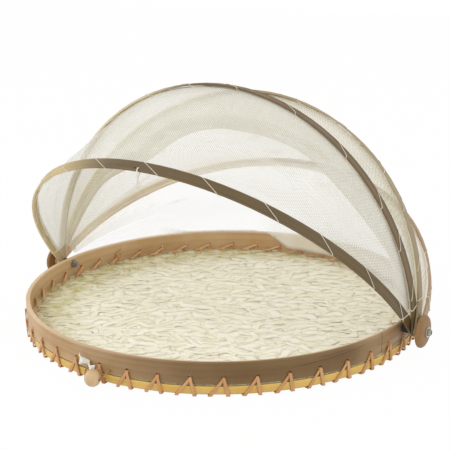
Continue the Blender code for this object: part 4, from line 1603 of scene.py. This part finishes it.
@dataclass
class Closure:
    """The bead with its cord and ribbon, and the loop that hooks over it."""

    azimuth: float = TRAY.stitch_azimuth(32)
    bead_radius: float = 0.0080
    bead_gap: float = 0.0028
    tie_radius: float = 0.0009
    loop_radius: float = 0.0006
    ribbon_thickness: float = 0.0003
    ribbon_steps: int = 24
    ribbon_start: float = -0.0035
    ribbon_length: float = 0.0160
    ribbon_half: tuple[float, float] = (0.0016, 0.0034)
    ribbon_height: tuple[float, float] = (0.0022, 0.0085)
    ribbon_stand: float = 0.0034
    ribbon_wave: float = 0.0022

    def at_bead(self, radius: float, along: float, height: float) -> Vector:
        """Return a point near the bead from its radius, its place along the rim and its height."""
        return Matrix.Rotation(self.azimuth, 3, "Z") @ Vector((radius, along, height))

    def tie(self) -> None:
        """Tie the bead to the rim through two small holes."""
        tones = (seen(180, 136, 92), seen(146, 102, 60))
        finish = DullSolid("bead_cord_cotton", *tones, 0.85, 0.0, 0.0005, 8e-5)
        low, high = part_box("closing_bead")
        height = (low.z + high.z) / 2
        radius = TRAY.radius + self.bead_gap + self.bead_radius
        half = [
            (0.1930, 0.0125, 0.0028), (0.1938, 0.0105, 0.0050), (0.1936, 0.0100, 0.0030),
            (0.1945, 0.0110, 0.0035), (0.1975, 0.0110, 0.0035), (0.2034, 0.0110, 0.0035),
            (radius - 0.004, 0.0112, 0.0010), (radius - 0.001, 0.0095, height), (radius, 0.0075, height),
            (radius, 0.0, height),
        ]
        points = [self.at_bead(*place) for place in half]
        points += [self.at_bead(r, -along, z) for r, along, z in reversed(half[:-1])]
        piece = add_cord("bead_cord", through(points, 4), self.tie_radius, finish.build())
        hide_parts("bead_tie")
        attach(piece, "tray")

    def ribbon(self, cloth: Material) -> None:
        """Tie a crumpled strip of net round the cord, left of the bead.

        Args:
            cloth: The ribbon's material.
        """
        work = bmesh.new()
        grid = []
        for i in range(self.ribbon_steps + 1):
            share = i / self.ribbon_steps
            along = self.ribbon_start - self.ribbon_length * share
            crumple = uneven(share * 6, 2.0, 5.0)
            half = self.ribbon_half[0] + self.ribbon_half[1] * abs(2 * share - 0.9) ** 1.3
            height = self.ribbon_height[0] + self.ribbon_height[1] * share + 0.0010 * crumple
            out = TRAY.radius + self.ribbon_stand + self.ribbon_wave * math.sin(share * 9.0) + 0.0008 * crumple
            line = []
            for across in (-1.0, -0.5, 0.0, 0.5, 1.0):
                fold = out + 0.0008 * math.sin(across * 4 + share * 12)
                place = self.at_bead(fold, along + 0.0006 * across, height + across * half)
                line.append(work.verts.new(place))
            grid.append(line)
        fill_grid(work, grid)
        piece = add_object("bead_ribbon", to_mesh("bead_ribbon", work), cloth)
        thick = piece.modifiers.new("cloth_thickness", "SOLIDIFY")
        thick.thickness = self.ribbon_thickness
        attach(piece, "tray")

    def loop(self, cotton: Material) -> None:
        """Hang the closing loop from the front bow.

        Args:
            cotton: The cord's material.
        """
        bow = BOWS[0]
        turn = math.acos((-0.001 - bow.lean * (bow.rise - bow.lean_start)) / bow.span)
        near, far = 0.0025, 0.0058
        top, under = bow.point(turn, -0.0019, near), bow.point(turn, 0.0024, near)
        over, below = bow.point(turn, -0.0016, far), bow.point(turn, 0.0018, far)
        points = [
            bow.point(turn, 0.0, near), top, over, over + Vector((0.0008, -0.0006, -0.006)),
            over + Vector((0.0020, 0.0, -0.011)), over + Vector((0.0004, 0.0016, -0.0150)),
            below + Vector((-0.0026, 0.0, -0.0135)), below + Vector((-0.0016, 0.0, -0.008)),
            below + Vector((0.0, 0.0, -0.003)), under, bow.point(turn, 0.0012, near),
        ]
        path = through(points, 4)
        piece = add_cord("closing_loop_cord", path, self.loop_radius, cotton)
        length = sum((b - a).length for a, b in zip(path, path[1:]))
        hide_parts("closing_loop")
        tuple(path[0])
        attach(piece, "bow_front")

    def build(self, cotton: Material) -> None:
        """Dress the bead and add its cord, ribbon and loop.

        Args:
            cotton: The cords' material.
        """
        low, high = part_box("closing_bead")
        wood = TurnedWood("bead_wood", seen(226, 200, 160), seen(190, 154, 108), tuple((low + high) / 2))
        dress("closing_bead", wood.build())
        self.loop(cotton)
        self.tie()
        ribbon = DullSolid("ribbon_net", seen(246, 244, 238), seen(228, 224, 212), 0.85, 0.0, 0.0008, 1e-4)
        self.ribbon(ribbon.build())
        log.info("tied the bead and hung the loop")


@dataclass(frozen=True)
class PhotoCamera:
    """The camera at the photograph's place."""

    azimuth: float = 31.694
    elevation: float = 18.45
    distance: float = 1.1385
    focal_pixels: float = 1109.5
    centre: tuple[float, float] = (221.94, 269.05)
    roll: float = -0.01303
    frame_pixels: float = 450.0
    sensor: float = 36.0
    target: tuple[float, float, float] = (0.0, 0.0, 0.0394)

    def build(self) -> None:
        """Place the camera."""
        a, e = math.radians(self.azimuth), math.radians(self.elevation)
        back = Vector((math.sin(a) * math.cos(e), -math.cos(a) * math.cos(e), math.sin(e)))
        right = Vector((math.cos(a), math.sin(a), 0.0))
        up = back.cross(right)
        across = right * math.cos(self.roll) + up * math.sin(self.roll)
        upward = up * math.cos(self.roll) - right * math.sin(self.roll)
        data = bpy.data.cameras.new("photo_camera")
        data.sensor_width = self.sensor
        data.lens = self.focal_pixels / self.frame_pixels * self.sensor
        data.shift_x = (self.frame_pixels / 2 - self.centre[0]) / self.frame_pixels
        data.shift_y = (self.centre[1] - self.frame_pixels / 2) / self.frame_pixels
        camera = bpy.data.objects.new("photo_camera", data)
        place = Vector(self.target) + back * self.distance
        turn = Matrix((across, upward, back)).transposed().to_4x4()
        camera.matrix_world = Matrix.Translation(place) @ turn
        bpy.context.scene.collection.objects.link(camera)
        bpy.context.scene.camera = camera


@dataclass(frozen=True)
class Studio:
    """A white sweep, soft sky light and two large lamps."""

    sky: float = 0.84
    sky_tone: Color = (1.0, 0.985, 0.96, 1.0)
    white: Color = (1.0, 1.0, 1.0, 1.0)
    paper: Color = (0.85, 0.85, 0.84, 1.0)
    paper_share: float = 0.97
    paper_size: float = 3.0
    aim: Vector = Vector((0.0, 0.0, 0.05))
    lamps: tuple = (("key_lamp", (-1.1, -1.0, 1.5), 0.9, 9.0), ("fill_lamp", (1.4, -0.6, 1.0), 1.2, 3.0))

    def white_for_camera(
        self, tree: Tree, kind: str, lit: Socket, share: float
    ) -> None:
        """Show white to the camera, gloss and glass, and the lit surface or sky to everything else.

        Args:
            tree: The tree of the material or the world.
            kind: The white shader's type: Emission or Background.
            lit: The lit shader.
            share: How much of the white the camera sees.
        """
        sketch = ShaderSketch(tree)
        rays = sketch.add("LightPath").outputs
        seen_by = sketch.calc("MAXIMUM", rays["Is Camera Ray"], rays["Is Glossy Ray"])
        seen_by = sketch.calc("MAXIMUM", seen_by, rays["Is Transmission Ray"])
        white = sketch.add(kind, {0: self.white, 1: 1.0}).outputs[0]
        mix = sketch.add("MixShader", {0: sketch.times(seen_by, share), 1: lit, 2: white})
        output = next(node for node in tree.nodes if node.type.startswith("OUTPUT"))
        tree.links.new(mix.outputs[0], output.inputs[0])

    def lamp(self, name: str, place: tuple[float, float, float], size: float, energy: float) -> None:
        """Hang a square lamp that looks at the tray.

        Args:
            name: The lamp's name.
            place: Where it hangs.
            size: Its side.
            energy: Its power in watts.
        """
        data = bpy.data.lights.new(name, "AREA")
        data.size = size
        data.energy = energy
        lamp = bpy.data.objects.new(name, data)
        lamp.location = place
        lamp.rotation_euler = (Vector(place) - self.aim).to_track_quat("Z", "Y").to_euler()
        bpy.context.scene.collection.objects.link(lamp)

    def build(self) -> None:
        """Build the floor, the sky and the lamps."""
        scene = bpy.context.scene
        scene.view_settings.view_transform = "Standard"
        world = bpy.data.worlds.new("studio_sky")
        world.use_nodes = True
        scene.world = world
        sky = world.node_tree.nodes["Background"]
        sky.inputs[0].default_value = self.sky_tone
        sky.inputs[1].default_value = self.sky
        self.white_for_camera(world.node_tree, "Background", sky.outputs[0], 1.0)
        work = bmesh.new()
        bmesh.ops.create_grid(work, x_segments=1, y_segments=1, size=self.paper_size)
        bmesh.ops.translate(work, verts=work.verts[:], vec=(0.0, 0.0, TRAY.ground - 0.0001))
        floor_mesh = to_mesh("studio_floor", work)
        floor = bpy.data.objects.new("studio_floor", floor_mesh)
        scene.collection.objects.link(floor)
        paper, sketch, shader = start_material("studio_paper", 0.9)
        shader.inputs["Base Color"].default_value = self.paper
        self.white_for_camera(sketch.tree, "Emission", shader.outputs[0], self.paper_share)
        floor_mesh.materials.append(paper)
        for lamp in self.lamps:
            self.lamp(*lamp)


def main() -> None:
    """Build the scene: camera and cords first, then each sub-assembly."""
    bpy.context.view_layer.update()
    ShaderGroups()
    PhotoCamera().build()
    Studio().build()
    finish = DullSolid("cotton_thread", seen(240, 235, 220), seen(212, 204, 182), 0.85, 0.0, 0.0005, 8e-5)
    cotton = finish.build()
    Closure().build(cotton)
    TrayHoops().build()
    WovenFloor().build()
    CaneLacing().build()
    Hinges().build()
    # Per bow: body, grain, and the painted shade tone of its +X side.
    tones = (
        (seen(198, 180, 137), seen(164, 144, 102), seen(134, 122, 102)),
        (seen(198, 184, 156), seen(168, 148, 114), seen(138, 120, 88)),
        (seen(220, 208, 184), seen(196, 180, 148), seen(180, 168, 148)),
        (seen(222, 198, 166), seen(196, 164, 126), seen(190, 178, 164)),
    )
    crossings = (
        (0.15, 0.405, 0.655, 0.92, 1.195, 1.465, 1.741, 2.006, 2.27, 2.534, 2.774, 2.96),
        (0.18, 0.402, 0.60, 0.868, 1.173, 1.49, 1.75, 2.004, 2.281, 2.56, 2.82),
        (0.30, 0.578, 0.78, 1.061, 1.369, 1.65, 1.93, 2.20, 2.48, 2.75),
        (0.25, 0.52, 0.78, 1.06, 1.33, 1.60, 1.88, 2.15, 2.43, 2.70),
    )
    bindings = (
        ((0.105, -0.008), (3.035, 0.006)),
        ((0.10, 0.004), (3.03, -0.006)),
        ((0.14, 0.006),),
        ((0.17, -0.006), (3.0, 0.006)),
    )
    for path, colours, places, bound in zip(BOWS, tones, crossings, bindings):
        Bow(path, *colours, places, bound).build(cotton)
    # One net fabric in four tones: the second net's darker threads are painted shade of its layered folds, and
    # the rear net's whiter threads are painted light; the second net is also denser and the rear net more
    # open.
    net = NetCloth("cover_net", seen(231, 231, 225), seen(221, 218, 206)).build()
    dense_shaded_net = NetCloth("second_net", seen(218, 213, 194), seen(204, 198, 172), (0.26, 0.84)).build()
    third = NetCloth("third_net", seen(234, 230, 216), seen(222, 214, 192), (0.12, 0.60)).build()
    airy_lit_net = NetCloth("rear_net", seen(246, 243, 234), seen(222, 212, 188), (0.04, 0.24), (0.27, 0.38)).build()
    NetPanel("net_front", BOWS[0], BOWS[1], "bow_second", 0.0, 0.0, 0.0, 0.008).build(net)
    NetPanel("net_second", BOWS[1], BOWS[2], "bow_third", 0.55, 0.0, 0.16, 0.026,
             ((0.5, 0.35, 0.55), (2.3, 0.28, 0.5))).build(dense_shaded_net)
    NetPanel("net_third", BOWS[2], BOWS[3], "bow_rear", 0.60, 0.0, 0.14, 0.026).build(third)
    NetPanel("net_rear", BOWS[3], None, "tray", 0.0, 0.20, 0.0, 0.020, taut=math.radians(40.0)).build(airy_lit_net)
    log.info("sizes written")


if __name__ == "__main__":
    logging.basicConfig(level=logging.INFO)
    main()
